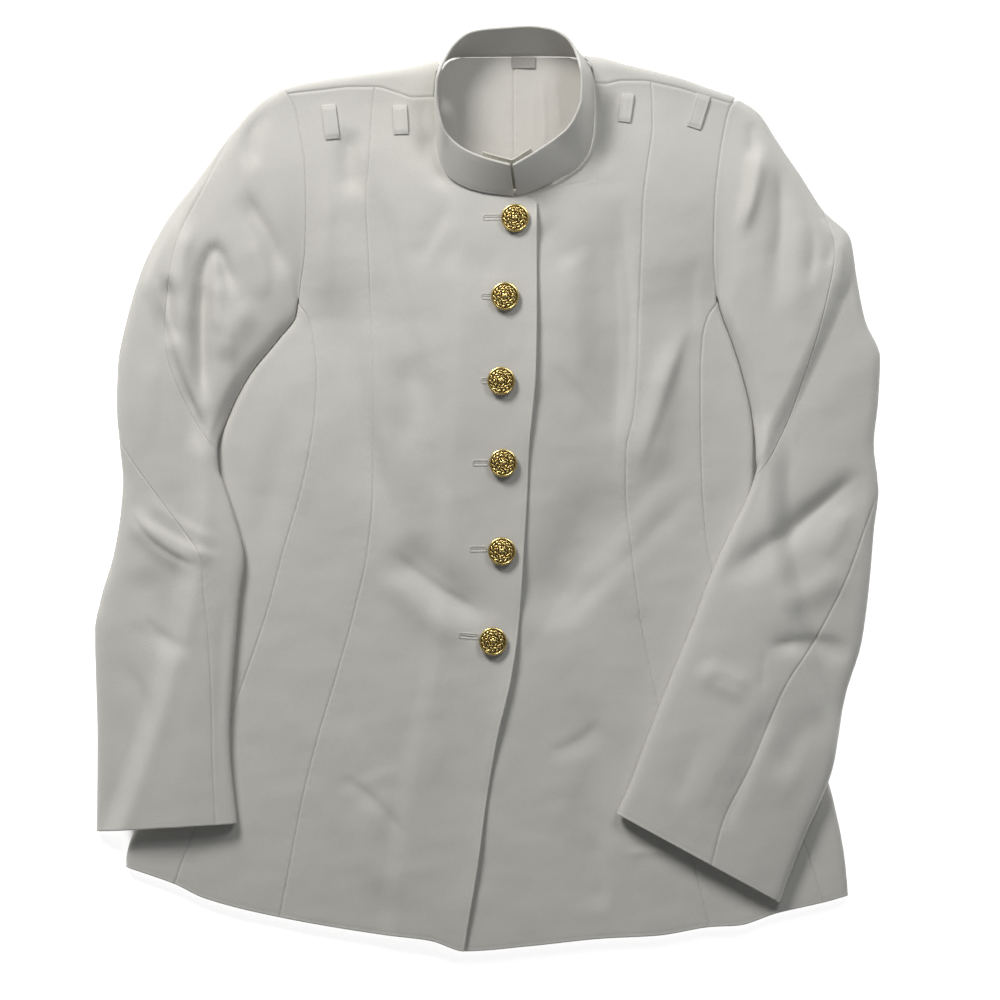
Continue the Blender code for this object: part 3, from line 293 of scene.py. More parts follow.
# Largest folds: start, middle and end of a bent line in plan, its half width and its depth,
# a ridge being positive
BODY_FOLDS = (
    ((-106, 290), (-112, 262), (-106, 232), 9, -3.2),
    ((-133, 170), (-112, 75), (-88, -20), 17, -2.6),
    ((-78, -40), (-42, -70), (6, -112), 15, -3.6),
    ((-90, -62), (-58, -92), (-14, -128), 11, 1.8),
    ((-76, 30), (-62, 60), (-66, 110), 13, -2.0),
    ((88, 232), (92, 150), (98, 30), 15, -3.0),
    ((100, 10), (70, -45), (30, -110), 22, -3.6),
    ((160, 10), (118, -40), (84, -92), 14, 2.2),
    ((146, 120), (138, 60), (128, 0), 12, 2.2),
    ((70, 175), (52, 200), (40, 215), 12, -1.6),
    ((-48, 290), (-46, 262), (-30, 238), 8, -2.4),
    ((100, 318), (96, 285), (92, 250), 8, -2.4),
    ((-70, -240), (-95, -285), (-62, -330), 15, 1.8),
    ((60, -160), (88, -230), (70, -300), 20, -1.8),
    ((-40, 200), (-10, 178), (14, 168), 16, -1.2),
    ((-165, 60), (-172, 0), (-186, -60), 12, -1.5),
)
SLEEVE_FOLDS_RIGHT = (
    ((-172, 305), (-188, 285), (-185, 255), 8, -2.6),
    ((-200, 240), (-182, 212), (-160, 166), 9, -3.4),
    ((-229, 160), (-217, 190), (-203, 152), 6, -3.8),
    ((-217, 172), (-216, 150), (-214, 120), 6, 1.6),
    ((-224, 185), (-229, 130), (-226, 62), 8, -5.6),
    ((-254, 172), (-255, 145), (-250, 112), 7, -4.4),
    ((-236, 225), (-242, 185), (-240, 110), 9, 2.6),
    ((-184, 150), (-200, 132), (-214, 100), 10, 2.2),
    ((-288, -14), (-262, -44), (-229, -62), 9, 3.4),
    ((-284, -60), (-262, -100), (-250, -140), 14, -1.8),
    ((-232, -70), (-250, -130), (-262, -190), 13, 0.5),
)
SLEEVE_FOLDS_LEFT = (
    ((231, 265), (233, 215), (231, 140), 9, -2.2),
    ((216, 280), (213, 240), (198, 200), 6.5, 4.0),
    ((256, 240), (252, 190), (246, 130), 11, 1.8),
    ((210, 296), (211, 280), (211, 262), 6, -2.4),
    ((310, 16), (266, -18), (180, -80), 12, -3.8),
    ((296, -138), (252, -124), (220, -132), 8, -2.2),
    ((288, -60), (258, -84), (226, -86), 11, 2.2),
    ((212, -164), (180, -150), (168, -140), 10, 2.0),
    ((280, -178), (252, -196), (232, -236), 12, -1.8),
)

# Crease where each forearm lies over the upper arm: start, middle and end of its line, the
# rise onto the forearm, the dip beside it, the ramp's width and the length of its run-out
STEP_RIGHT = ((-288, 200), (-249, 103), (-208, 2), 4.6, 1.6, 8.0, 60.0)
STEP_LEFT = ((300, 215), (261, 110), (203, -2), 4.6, 1.6, 8.0, 60.0)

# Lift of the free front edge above the front beneath it
FLARE_COLUMNS = ("y", "lift")
FLARE = ((230, 0.0), (214, 2.6), (180, 1.2), (150, 2.2), (90, 3.0), (55, 2.4), (15, 0.6), (-40, 1.2),
         (-75, 3.0), (-105, 0.8), (-140, 3.2), (-190, 2.6), (-240, 0.8), (-300, 2.4), (-370, 1.0))
FLARE_REACH = 9.0

# Buttons from the top down: x, y
BUTTONS = ((22, 216), (14, 153.5), (11, 86), (12.5, 20.5), (11.5, -50), (4.5, -122))
# Edge, back and shank of a button: radius, height above its seat
BUTTON_BACK = ((11.0, 3.2), (10.4, 2.75), (2.7, 2.55), (2.45, 2.2), (2.4, 0.0))
BUTTON_RADIUS = 11.2
BUTTON_SIDES = 252
BUTTON_RINGS = 46
DOME_EDGE = 4.1
DOME_RISE = 1.7
RIM_RADIUS = 10.4
RIM_HALF_WIDTH = 0.85
RIM_HEIGHT = 0.8
# Rings of leaves: radius of the middle, half width, half the number of leaves, lean
LEAF_RINGS = ((8.2, 1.25, 7.5, 0.9), (5.95, 1.15, 5.5, -1.1), (3.75, 1.0, 3.5, 1.3))
LEAF_HEIGHT = 0.88
LEAF_VEIN = 0.3
ROSETTE_RADIUS = 2.9
ROSETTE_HEIGHT = 0.85
HALF_PETALS = 2.5

# Shoulder loops: name, centre x and y, width, length and lean from the Y axis in degrees
LOOPS = (
    ("shoulder_loop_outer_right", -125.5, 293.5, 11.5, 28, 7),
    ("shoulder_loop_inner_right", -69.5, 295, 11.5, 23.5, 3),
    ("shoulder_loop_inner_left", 111, 304.5, 10, 23, -8),
    ("shoulder_loop_outer_left", 169, 302, 11.5, 28, -17),
)

# Lining that shows inside the neck, and the tab on it
LINING_SEAM = 21.0
LINING_BOTTOM = 205.0
LINING_COLUMNS = ("y", "right_x", "left_x")
LINING_SIDES = ((205, -52, 98), (280, -62, 106), (318, -50, 96), (336, -36, 80), (342, -31, 75),
                (345.6, -21, 65))
HANGER_WIDTH = 19.0
HANGER_WALL = 0.9
HANGER_X = 29.0
HANGER_SWAY = 0.35
# Lower and upper end of the tab: y, z
HANGER_LOW = (336.8, 3.75)
HANGER_HIGH = (346.0, 4.3)

# How much more the free front edge lifts than in the solids
EDGE_LIFT = 1.45

# How much deeper the largest folds are than in the solids
FOLD_DEPTH = 1.35

# Finer creases: points along each one, its half width and its height, a trough being negative
BODY_CREASES = (
    (((-104, 269), (-88, 229), (-76, 181), (-64, 125), (-48, 69), (-40, 37)), 11, -3.8),
    (((-112, 175), (-108, 120), (-102, 68), (-84, -4), (-66, -44)), 12, -3.2),
    (((-79.6, -49), (-46, -77), (-0.4, -103)), 6, -2.2),
    (((102, 241), (109, 191), (114, 135), (110, 79), (103, 37)), 8, -3.4),
    (((158, 130), (142, 82), (127, 42), (118, 9)), 7, 2.8),
    (((172, 9), (138, -25), (98, -65), (42, -115)), 13, -3.6),
    (((58, 191), (70, 127), (67.6, 71)), 16, 1.4),
    (((-126, 247), (-130, 191), (-127.6, 135)), 8, 1.4),
    (((-28.4, 231), (-46, 199), (-58, 175)), 7, -1.3),
    (((82, -273), (90, -305), (90, -341)), 9, -1.6),
    (((46, -213), (70, -205), (94, -185)), 6, -1.3),
    (((-122, -229), (-94, -245), (-63.6, -279.4)), 5, -1.2),
    (((-90, 183), (-70, 127), (-54, 71), (-44.5, 15), (-14, -25)), 7, -0.9),
    (((66, 199), (71, 71), (62, -49)), 20, 1.0),
    (((99.5, 203), (105, 111), (99.5, 7)), 6, -1.3),
    (((162, 135), (147.5, 103), (134, 67)), 5.5, 0.9),
    (((170, 47), (106, -25), (58, -81), (18, -153)), 11, -1.0),
    (((82, -201), (66, -241), (46, -281)), 13, 0.8),
    (((-122, -249), (-94, -233), (-66, -223.5)), 6, 0.7),
    (((-108.5, 279), (-103.5, 255), (-99, 227)), 5, -0.9),
    (((-50, 319), (-54, 287), (-44.5, 255)), 6, -0.9),
    (((108.5, -292), (128.5, -290), (148.5, -289)), 2.2, 0.7),
    (((122, -89), (128.5, -129), (134, -161)), 6, -0.7),
    (((46, 103), (78, 71), (98, 39)), 6, -0.7),
    (((-30, 191), (-38, 127), (-33, 55)), 9, 0.7),
    (((-126, -105), (-110, -153), (-108.5, -201)), 9, -0.8),
    (((-54, -121), (-38, -185), (-46, -249)), 12, 0.8),
    (((-150, 55), (-145, 15), (-150, -25)), 7, 0.7),
    (((170, 191), (162, 151), (167, 119)), 6, -0.8),
)
SLEEVE_RIGHT_CREASES = (
    (((-270, 168), (-256, 122), (-241, 80), (-224, 40)), 4, -3.4),
    (((-270, 175), (-252.4, 111), (-233.2, 61.4)), 6, 2.2),
    (((-236.4, 210.2), (-245.2, 184.6), (-247.6, 151)), 5.5, 2.2),
    (((-191.6, 202.2), (-177.2, 176.6), (-179.6, 149.4)), 6.5, 2),
    (((-283.6, -23.4), (-246, -45.8), (-209.2, -57.8)), 5, 2.2),
    (((-209.2, -81), (-210.8, -169), (-210.8, -249)), 5, -1.8),
    (((-278, -101), (-258, -121), (-234, -129)), 5, -1.2),
    (((-294, -137), (-270, -169), (-270, -201)), 6, -1.2),
    (((-287.5, -14), (-283, -24), (-269, -41), (-252.5, -53), (-228.5, -64)), 2.6, -1.8),
    (((-279.5, -2.5), (-254, -25), (-212.5, -45)), 6.5, 1.7),
    (((-173, 309.5), (-175, 300), (-175.5, 290)), 3.6, -0.9),
    (((-187.5, 301.5), (-188.5, 273.5), (-185, 255)), 4.2, -1.1),
    (((-198, 285.5), (-199, 241.5), (-181, 215), (-171, 201.5), (-156.5, 160.5)), 4.2, -1.4),
    (((-216.5, 185.5), (-227.5, 179), (-227.5, 151), (-227.5, 55)), 4.2, -1.6),
    (((-252.5, 175), (-257, 151), (-255.5, 127)), 5.5, -1.1),
    (((-262, 111), (-270, 71), (-268.5, 31)), 6, 0.9),
    (((-210, 151), (-204.5, 103), (-209, 55)), 5, 1.0),
    (((-294, -105), (-270, -121), (-242, -121)), 7, -0.7),
    (((-244.5, -89), (-246, -153), (-241, -217)), 6, -0.7),
)
SLEEVE_LEFT_CREASES = (
    (((198.8, 287), (204.4, 247), (200.4, 199)), 5.5, -2),
    (((218, 279), (230.8, 231), (226, 181.4)), 7, 1.8),
    (((250, 235), (262.8, 199), (254.8, 157.4)), 5.5, -2.2),
    (((278.8, 208.6), (286.8, 181.4), (282, 151)), 5, 1.4),
    (((235.6, -161), (208.4, -223.4), (182.8, -285.8)), 6, -2),
    (((218, -161), (186, -217), (162, -265)), 9, 1.2),
    (((299.6, 15), (266, -13), (234, -47.4)), 5, -1.6),
    (((279.5, 204.5), (275.5, 189.5), (270, 176)), 3.8, -1.1),
    (((211, 298), (211, 279), (211, 261.5)), 3.6, -1.0),
    (((218, 276), (213, 237.5), (203.5, 209.5)), 5, 1.3),
    (((233, 260.5), (235, 215), (233, 167)), 5.5, -1.1),
    (((304.5, 15), (266, -15.5), (227.5, -42.5), (183, -73)), 5, -0.8),
    (((290, -13), (280.5, -37), (266, -57)), 7, 1.2),
    (((221, -126.5), (263, -118.5), (296.5, -127.5)), 3.4, -1.1),
    (((220.5, -129), (221, -146.5), (220.5, -164)), 2.6, -1.0),
    (((174, -147.5), (194, -154.5), (213, -164)), 2.8, -1.0),
    (((250, 71), (242, 31), (226, -1)), 7, 0.4),
    (((198, 151), (203.5, 103), (202, 55)), 5, 0.9),
    (((170, -185), (162, -225), (146, -257)), 7, -0.8),
    (((266, -169), (250, -217), (230, -257)), 8, 0.8),
)

# Shallow creases of the hidden sides
UNDERSIDE_CREASES = (
    (((-120, 200), (-60, 140), (10, 118)), 9, 0.5),
    (((150, 220), (100, 170), (60, 150)), 8, 0.45),
    (((-150, 20), (-80, -10), (-30, -16)), 11, 0.5),
    (((160, -40), (110, -70), (50, -80)), 10, 0.5),
    (((-170, -180), (-140, -240), (-130, -300)), 12, 0.4),
    (((120, -160), (110, -230), (130, -300)), 12, 0.4),
    (((-20, 60), (10, -20), (0, -120)), 14, 0.45),
    (((-270, 190), (-240, 150), (-215, 120)), 6, 0.5),
    (((-295, 20), (-265, -10), (-240, -20)), 5, 0.5),
    (((-300, -140), (-280, -190), (-285, -240)), 7, 0.4),
    (((290, 170), (265, 130), (235, 110)), 6, 0.5),
    (((300, 30), (275, 0), (240, -10)), 5, 0.5),
    (((280, -120), (262, -150), (258, -190)), 6, 0.4),
)

# Colour of the gilt in the hollows of its relief, painted dark there as painted shade and a dark painted
# reflection, and on the raised parts
GILT_PAINTED_SHADE = (0.11, 0.06, 0.013)
GILT_BRIGHT = (1.0, 0.77, 0.3)

# Slow waves of the cloth: direction in degrees, length and height
WAVES = ((17, 74, 0.17), (103, 58, 0.13), (151, 41, 0.09), (62, 27, 0.06), (128, 19, 0.035))

# Buttonholes beside the buttons: x of the start and of the end, level y, lean in degrees
BUTTONHOLES = (
    (-3.0, 11.5, 216.6, 1), (-4.5, 3.5, 153.4, 0), (-5.0, 0.5, 86.2, 0), (-11.5, 1.0, 20.6, 0),
    (-14.0, -1.0, -48.2, 1), (-22.8, -6.8, -117.8, -5),
)

# Rim and slit of a buttonhole: half width of its thread line, the round of its ends, the slit's
# share of its length, and the slit's half width and rise at its foot and top
HOLE_HALF_WIDTH = 2.0
HOLE_STEEPNESS = 3.6
HOLE_END = 1.6
HOLE_END_ROUND = 1.55
HOLE_POINTS = 48
SLIT_SHARE = 0.93
SLIT_LEVELS = ((0.13, 0.04), (0.06, 0.08))

# Stitches: pitch along the line, then the grain's height, width and length
FRONT_STITCH = (3.0, (0.24, 0.3, 2.1))
HEM_STITCH = (6.5, (0.2, 0.26, 1.3))
CUFF_STITCH = (6.0, (0.2, 0.26, 1.2))
STRAP_STITCH = (2.2, (0.28, 0.34, 1.5))
HOLE_STITCH = (0.62, (0.95, 1.9, 0.55))
EDGE_SEWN = (224.0, -352.0)
HEM_SEWN_RIGHT = (-165.0, -24.0)
HEM_SEWN_LEFT = (-12.0, 182.0)
HEM_STITCH_UP = 9.0
CUFF_SEWN = (0.08, 0.92)
CUFF_STITCH_UP = 0.32
STRAP_SEWN_IN = 0.8

# Pleat, pulls and gathers of the lining
LINING_CREASES = (
    (((43.5, 327), (46.5, 295), (45.5, 272.5)), 1.6, 0.75),
    (((52.5, 329.5), (57, 310), (59, 290)), 2.2, 0.6),
    (((38, 322), (36, 300), (38, 276)), 2.4, 0.35),
    (((2, 322), (-2, 300), (4, 276)), 3.0, 0.35),
    (((-14, 318), (-18, 296), (-12, 276)), 3.0, 0.35),
)

# Camera and light
CAMERA_X = 0.010
CAMERA_Y = -0.009
CAMERA_HEIGHT = 6.0
CAMERA_FOCUS = 0.015
CAMERA_VIEW = 0.8
LIT_POINT = (0.0, 0.05, 0.0)
KEY = 30.0
KEY_FROM = (-0.85, 1.5, 1.25)
KEY_SIZE = 0.75
TOP_LIGHT = 5.3
TOP_LIGHT_FROM = (0.6, 0.9, 1.2)
TOP_LIGHT_SIZE = 0.6
SURROUND = 0.115
FLOOR_REACH = 4.0
FLOOR_LEVEL = -0.0004
# Glow of the floor, which ambient occlusion takes away beside and between the pieces as painted contact
# shade
FLOOR_GLOW = 0.8


def smooth(share):
    """Ease from 0 to 1 with level ends."""
    share = np.clip(share, 0.0, 1.0)
    return share * share * (3.0 - 2.0 * share)


def curve(knots, values):
    """A smooth line through a table's values that never overshoots them."""
    knots = np.asarray(knots, float)
    values = np.asarray(values, float)
    if knots[0] > knots[-1]:
        knots = knots[::-1]
        values = values[::-1]
    gaps = np.diff(knots)
    slopes = np.diff(values) / gaps
    tangents = np.zeros_like(values)
    tangents[0] = slopes[0]
    tangents[-1] = slopes[-1]
    for i in range(1, len(values) - 1):
        if slopes[i - 1] * slopes[i] > 0:
            tangents[i] = 2.0 / (1.0 / slopes[i - 1] + 1.0 / slopes[i])

    def at(where):
        where = np.clip(where, knots[0], knots[-1])
        i = np.clip(np.searchsorted(knots, where) - 1, 0, len(gaps) - 1)
        t = (where - knots[i]) / gaps[i]
        start = (1 + 2 * t) * (1 - t) ** 2 * values[i] + t * (1 - t) ** 2 * gaps[i] * tangents[i]
        end = t * t * (3 - 2 * t) * values[i + 1] + t * t * (t - 1) * gaps[i] * tangents[i + 1]
        return start + end

    return at


def table_curve(rows, columns, knot, value):
    """The curve of one named column of a table against another."""
    at = columns.index(knot)
    to = columns.index(value)
    return curve([row[at] for row in rows], [row[to] for row in rows])


LINE = {name: table_curve(BODY_LINES, BODY_LINES_COLUMNS, "y", name) for name in BODY_LINES_COLUMNS[1:]}
CROWN_AT = {name: table_curve(CROWN, CROWN_COLUMNS, "y", name) for name in CROWN_COLUMNS[1:]}
hem_y = table_curve(HEM, HEM_COLUMNS, "x", "y")
fold_y = table_curve(SHOULDER, SHOULDER_COLUMNS, "x", "fold_y")
shoulder_y = table_curve(SHOULDER, SHOULDER_COLUMNS, "x", "seam_y")
shoulder_z = table_curve(SHOULDER, SHOULDER_COLUMNS, "x", "seam_z")
flare_at = table_curve(FLARE, FLARE_COLUMNS, "y", "lift")


def bent_line(points, x, y):
    """Distance to a bent line, share of its length, and the signed side of it."""
    lengths = [math.dist(a, b) for a, b in zip(points, points[1:])]
    total = sum(lengths)
    best = np.full(np.shape(x), 1e9)
    share = np.zeros(np.shape(x))
    side = np.zeros(np.shape(x))
    passed = 0.0
    for (ax, ay), (bx, by), length in zip(points, points[1:], lengths):
        dx = (bx - ax) / length
        dy = (by - ay) / length
        run = np.clip((x - ax) * dx + (y - ay) * dy, 0.0, length)
        distance = np.hypot(x - ax - run * dx, y - ay - run * dy)
        cross = (x - ax) * dy - (y - ay) * dx
        nearer = distance < best
        best = np.where(nearer, distance, best)
        share = np.where(nearer, (passed + run) / total, share)
        side = np.where(nearer, np.sign(cross), side)
        passed += length
    return best, share, side


def rounded(points):
    """More points along a bent line of three, so that its bend is soft."""
    a, b, c = points
    line = []
    for k in range(9):
        t = k / 8
        middle = 2 * t * (1 - t)
        line.append(tuple((1 - t) ** 2 * a[i] + middle * (2 * b[i] - (a[i] + c[i]) / 2) + t * t * c[i]
                          for i in (0, 1)))
    return line


def folds_height(folds, x, y):
    """Sum of the soft ridges and troughs of a fold table."""
    height = np.zeros(np.shape(x))
    for start, middle, end, half_width, depth in folds:
        distance, share, _ = bent_line(rounded((start, middle, end)), x, y)
        ends = smooth(share / FOLD_ENDS) * smooth((1 - share) / FOLD_ENDS)
        height += depth * ends * np.exp(-(distance / half_width) ** 2)
    return height


def step_height(step, x, y, forearm_side):
    """Step up onto the forearm, fading down the sleeve, with a dip on the side beneath."""
    start, middle, end, rise, dip, ramp, run_out = step
    distance, _, side = bent_line(rounded((start, middle, end)), x, y)
    signed = distance * side * forearm_side
    up = rise * smooth(0.5 + signed / (2 * ramp)) * np.exp(-np.maximum(signed, 0) / run_out)
    beneath = 1 - smooth(0.5 + signed / (2 * ramp))
    return up - dip * np.exp(-(np.minimum(signed, 0) / (3 * ramp)) ** 2) * beneath


def half_width(y):
    return (LINE["edge_left"](y) - LINE["edge_right"](y)) / 2


def middle_x(y):
    return (LINE["edge_left"](y) + LINE["edge_right"](y)) / 2


def crown_height(x, y):
    """Smooth height of the front, even in x about the middle of the body."""
    share = np.clip(np.abs(x - middle_x(y)) / half_width(y), 0.0, 1.0) ** 2
    nodes = [s * s for s in CROWN_SHARES]
    height = np.zeros(np.shape(share))
    for i, name in enumerate(CROWN_COLUMNS[1:]):
        weight = np.ones(np.shape(share))
        for j, other in enumerate(nodes):
            if j != i:
                weight = weight * (share - other) / (nodes[i] - other)
        height = height + weight * CROWN_AT[name](y)
    return height


def plain_height(x, y):
    """Front height before folds, brought down to the shoulder seam at the top."""
    ease = smooth((shoulder_y(x) - y) / SHOULDER_EASE)
    return shoulder_z(x) * (1 - ease) + crown_height(x, y) * ease


def front_fade(x, y):
    """Share of the folds and creases that is left near the sides and the top."""
    inside = half_width(y) - np.abs(x - middle_x(y))
    return smooth(inside / SIDE_FADE) * smooth((shoulder_y(x) - y) / TOP_FADE)


def front_height(x, y):
    """Mid-surface of the front with its folds, which fade out at the sides and top."""
    return plain_height(x, y) + front_fade(x, y) * folds_height(BODY_FOLDS, x, y)


def lapped_height(x, y):
    """Mid-surface of the right front, which passes over the left front at the opening."""
    lap = smooth((x - (LINE["opening"](y) - LAP_WIDTH - LAP_START)) / LAP_RUN)
    flare = EDGE_LIFT * flare_at(y) * np.exp(-np.maximum(LINE["opening"](y) - x, 0) / FLARE_REACH)
    return front_height(x, y) + LAP_LIFT * lap + flare


def creases_height(creases, x, y):
    """Sum of the finer creases, each one running out softly at its ends."""
    height = np.zeros(np.shape(x))
    for points, half_width, depth in creases:
        xs, ys = zip(*points)
        near = ((x > min(xs) - 3 * half_width) & (x < max(xs) + 3 * half_width)
                & (y > min(ys) - 3 * half_width) & (y < max(ys) + 3 * half_width))
        if not near.any():
            continue
        distance, share, side = bent_line(softened(points), x[near], y[near])
        width = half_width * np.where(side > 0, CREASE_SIDES[1], CREASE_SIDES[0])
        ends = smooth(share / CREASE_ENDS) * smooth((1 - share) / CREASE_ENDS)
        height[near] += depth * ends * np.exp(-(distance / width) ** 2)
    return height


def softened(points):
    """A crease's line with its corners cut twice."""
    line = [np.array(p, float) for p in points]
    for _ in range(2):
        cut = [line[0]]
        for a, b in zip(line, line[1:]):
            cut.extend((a * 0.75 + b * 0.25, a * 0.25 + b * 0.75))
        line = cut + [line[-1]]
    return [tuple(p) for p in line]


def waves_height(x, y):
    """Slow, shallow waves that keep the cloth from lying perfectly even."""
    height = np.zeros(np.shape(x))
    for angle, length, size in WAVES:
        a = math.radians(angle)
        along = (x * math.cos(a) + y * math.sin(a)) / length
        across = (x * math.sin(a) - y * math.cos(a)) / (length * 2.3)
        sway = 1.7 * np.sin(2 * math.pi * across + angle)
        height = height + size * np.sin(2 * math.pi * along + sway)
    return height


def dressed_front(x, y):
    """Front mid-surface with its finer creases."""
    plain = plain_height(x, y)
    folds = FOLD_DEPTH * (front_height(x, y) - plain)
    fine = creases_height(BODY_CREASES, x, y) + waves_height(x, y)
    return plain + folds + front_fade(x, y) * fine


def dressed_lap(x, y):
    """The right front with its finer creases, lifted where it laps over the left one."""
    return dressed_front(x, y) + lapped_height(x, y) - front_height(x, y)


def solve_x(level, line, count):
    """Where each of a number of rows, y = level(x), crosses a line, x = line(y)."""
    low = np.full(count, -340.0)
    high = np.full(count, 340.0)
    for _ in range(40):
        x = (low + high) / 2
        short = x < line(level(x))
        low = np.where(short, x, low)
        high = np.where(short, high, x)
    return (low + high) / 2


def fold_round(arc, radius):
    """Distance in from a folded edge and rise about its centre, for a place along the arc."""
    angle = np.clip(arc / radius, -math.pi / 2, math.pi / 2)
    inward = radius * (1 - np.cos(angle)) + np.maximum(np.abs(arc) - radius * math.pi / 2, 0)
    return inward, radius * np.sin(angle)


def arc_for(inward, radius):
    """Place along the arc for a distance in from the folded edge."""
    rounded_part = radius * np.arccos(np.clip(1 - np.maximum(inward, 0.0) / radius, -1.0, 1.0))
    return np.where(inward >= radius, inward - radius + radius * math.pi / 2, rounded_part)


def under_reach(y):
    """How far in from the folded side the underarm panel ends underneath."""
    more = (UNDERSIDE_REACH - UNDERSIDE_LEAST) * smooth((ARMPIT - y) / UNDERSIDE_RUN)
    return UNDERSIDE_LEAST + more


def edge_radius(y):
    return (CROWN_AT["edge"](y) - FLOOR_MID) / 2


def places(length, spacing, lip_first, lip_last):
    """Places along a length, closer together at an edge that shows."""
    head = np.array(LIP if lip_first else LIP[:1])
    tail = np.array(LIP if lip_last else LIP[:1])
    inner = length - head[-1] - tail[-1]
    count = max(int(round(inner / spacing)), 2)
    between = head[-1] + inner * np.arange(1, count) / count
    return np.concatenate((head, between, length - tail[::-1]))


class Grid:
    """Points of one panel in rows and columns, and how far each lies from the panel's edges."""

    def __init__(self, surface, rows, ends, across_mm, spacing, seams=("first", "last"), free=()):
        first, last = ends(rows)
        width = (last - first) * across_mm
        lips = [name in seams or name in free for name in ("first", "last")]
        steps = places(float(width.max()), spacing, *lips)
        share = steps / steps[-1]
        tight = np.minimum(width, width.max()) / width.max()
        # Lips keep their own width on narrow rows
        lip_share = np.minimum(1, tight * 3)
        place = share[:, None] * width[None, :]
        if lips[0]:
            place = np.where(steps[:, None] <= LIP[-1], steps[:, None] * lip_share, place)
        if lips[1]:
            back = steps[-1] - steps
            place = np.where(back[:, None] <= LIP[-1], width - back[:, None] * lip_share, place)
        place = np.maximum.accumulate(place, axis=0).T
        across = first[:, None] + place / across_mm
        down = np.repeat(rows[:, None], across.shape[1], axis=1)
        self.points = surface(down, across)
        self.place = place
        steps_down = np.linalg.norm(np.diff(self.points, axis=0), axis=2)
        self.along = np.vstack((np.zeros((1, across.shape[1])), np.cumsum(steps_down, axis=0)))
        distance = {"first": place, "last": width[:, None] - place,
                    "top": self.along, "bottom": self.along[-1:] - self.along}
        far = np.full(place.shape, 1e3)
        self.seam = np.minimum.reduce([distance[name] for name in seams] + [far])
        self.free = np.minimum.reduce([distance[name] for name in free] + [far])
        self.width = float(np.linalg.norm(np.diff(self.points, axis=1), axis=2).sum(axis=1).max())
        self.length = float(self.along[-1].max())


def row_list(length, last, spacing, lip_first=True, lip_last=True):
    """Row values from 0 to last, closer together at the ends that show."""
    return places(length, spacing, lip_first, lip_last) / length * last


def shell(name, grids, thickness, material):
    """A closed thin shell about one or more grids that share their common points."""
    points = np.concatenate([g.points.reshape(-1, 3) for g in grids])
    seam = np.concatenate([g.seam.ravel() for g in grids])
    free = np.concatenate([g.free.ravel() for g in grids])
    layout = np.concatenate([np.stack((g.place, g.along), axis=-1).reshape(-1, 2) for g in grids])
    quads = []
    base = 0
    for g in grids:
        rows, columns = g.points.shape[:2]
        index = base + np.arange(rows * columns).reshape(rows, columns)
        corners = (index[:-1, :-1], index[1:, :-1], index[1:, 1:], index[:-1, 1:])
        quads.append(np.stack(corners, axis=-1).reshape(-1, 4))
        base += rows * columns
    quads = np.concatenate(quads)
    _, chosen, names = np.unique(np.round(points, 3), axis=0, return_index=True, return_inverse=True)
    names = names.ravel()
    points = points[chosen]
    seam = seam[chosen]
    free = free[chosen]
    layout = layout[chosen]
    quads = names[quads]
    whole = (quads[:, 0] != quads[:, 1]) & (quads[:, 2] != quads[:, 3])
    whole &= (quads[:, 1] != quads[:, 2]) & (quads[:, 0] != quads[:, 3])
    folded = quads[~whole]
    quads = quads[whole]
    faces = [tuple(q) for q in quads]
    for q in folded:
        face = tuple(dict.fromkeys(q))
        if len(face) == 3:
            faces.append(face)
    normals = np.zeros_like(points)
    square = np.cross(points[quads[:, 2]] - points[quads[:, 0]], points[quads[:, 3]] - points[quads[:, 1]])
    for i in range(4):
        np.add.at(normals, quads[:, i], square)
    for face in faces[len(quads):]:
        flat = np.cross(points[face[1]] - points[face[0]], points[face[2]] - points[face[0]])
        for i in face:
            normals[i] += flat
    normals /= np.maximum(np.linalg.norm(normals, axis=1), 1e-9)[:, None]

    half = np.full(len(points), thickness / 2)
    sway = 2 * np.sin(layout[:, 1] / PUCKER_SWAY)
    pucker = PUCKER * np.sin(2 * math.pi * layout[:, 1] / PUCKER_LENGTH + sway)
    half -= SEAM_DEPTH * (1 + pucker) * np.exp(-(seam / SEAM_WIDTH) ** 2)
    half += SEAM_SWELL * pucker * np.exp(-((seam - SWELL_INSET) / SWELL_WIDTH) ** 2)
    turned = np.clip(free / (thickness * TURN_WIDTH), 0.0, 1.0)
    half -= thickness * TURN_DEPTH * (1 - np.sqrt(1 - (1 - turned) ** 2))
    half -= STITCH_PULL * np.exp(-((free - STITCH_INSET) / STITCH_WIDTH) ** 2)
    half = np.maximum(half, LEAST_HALF_WALL)
    outer = points + normals * half[:, None]
    inner = points - normals * half[:, None]

    count = len(points)
    edges = set()
    for face in faces:
        edges.update(zip(face, face[1:] + face[:1]))
    solid = list(faces) + [tuple(i + count for i in reversed(face)) for face in faces]
    solid.extend((b, a, a + count, b + count) for a, b in edges if (b, a) not in edges)
    piece = mesh_piece(name, np.vstack((outer, inner)), sorted(solid), material)
    loops = np.zeros(len(piece.data.loops), np.int64)
    piece.data.loops.foreach_get("vertex_index", loops)
    flat = np.vstack((layout, layout))[loops] * MM
    piece.data.uv_layers.new(name="cut").data.foreach_set("uv", flat.astype(np.float32).ravel())
    return piece


def mesh_piece(name, points, faces, material):
    mesh = bpy.data.meshes.new(name)
    mesh.from_pydata((np.asarray(points) * MM).tolist(), [], faces)
    mesh.materials.append(material)
    mesh.shade_smooth()
    mesh.set_sharp_from_angle(angle=math.radians(62))
    piece = bpy.data.objects.new(name, mesh)
    bpy.context.scene.collection.objects.link(piece)
    return piece


def half_surface(piece):
    return sum(polygon.area for polygon in piece.data.polygons) / 2


def lay_out(piece, node, grids):
    """Work out the size of a cloth piece's cut, which is not used further, hang the piece on the root and
    hide the solid it stands for.
    """
    width = max(g.width for g in grids) * MM
    length = max(g.length for g in grids) * MM
    area = half_surface(piece)
    width = math.ceil(max(width, area / length) * 1e4) / 1e4
    length = math.ceil(max(length, LEAST_CUT) * 1e4) / 1e4
    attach(piece, "root")
    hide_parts(node)


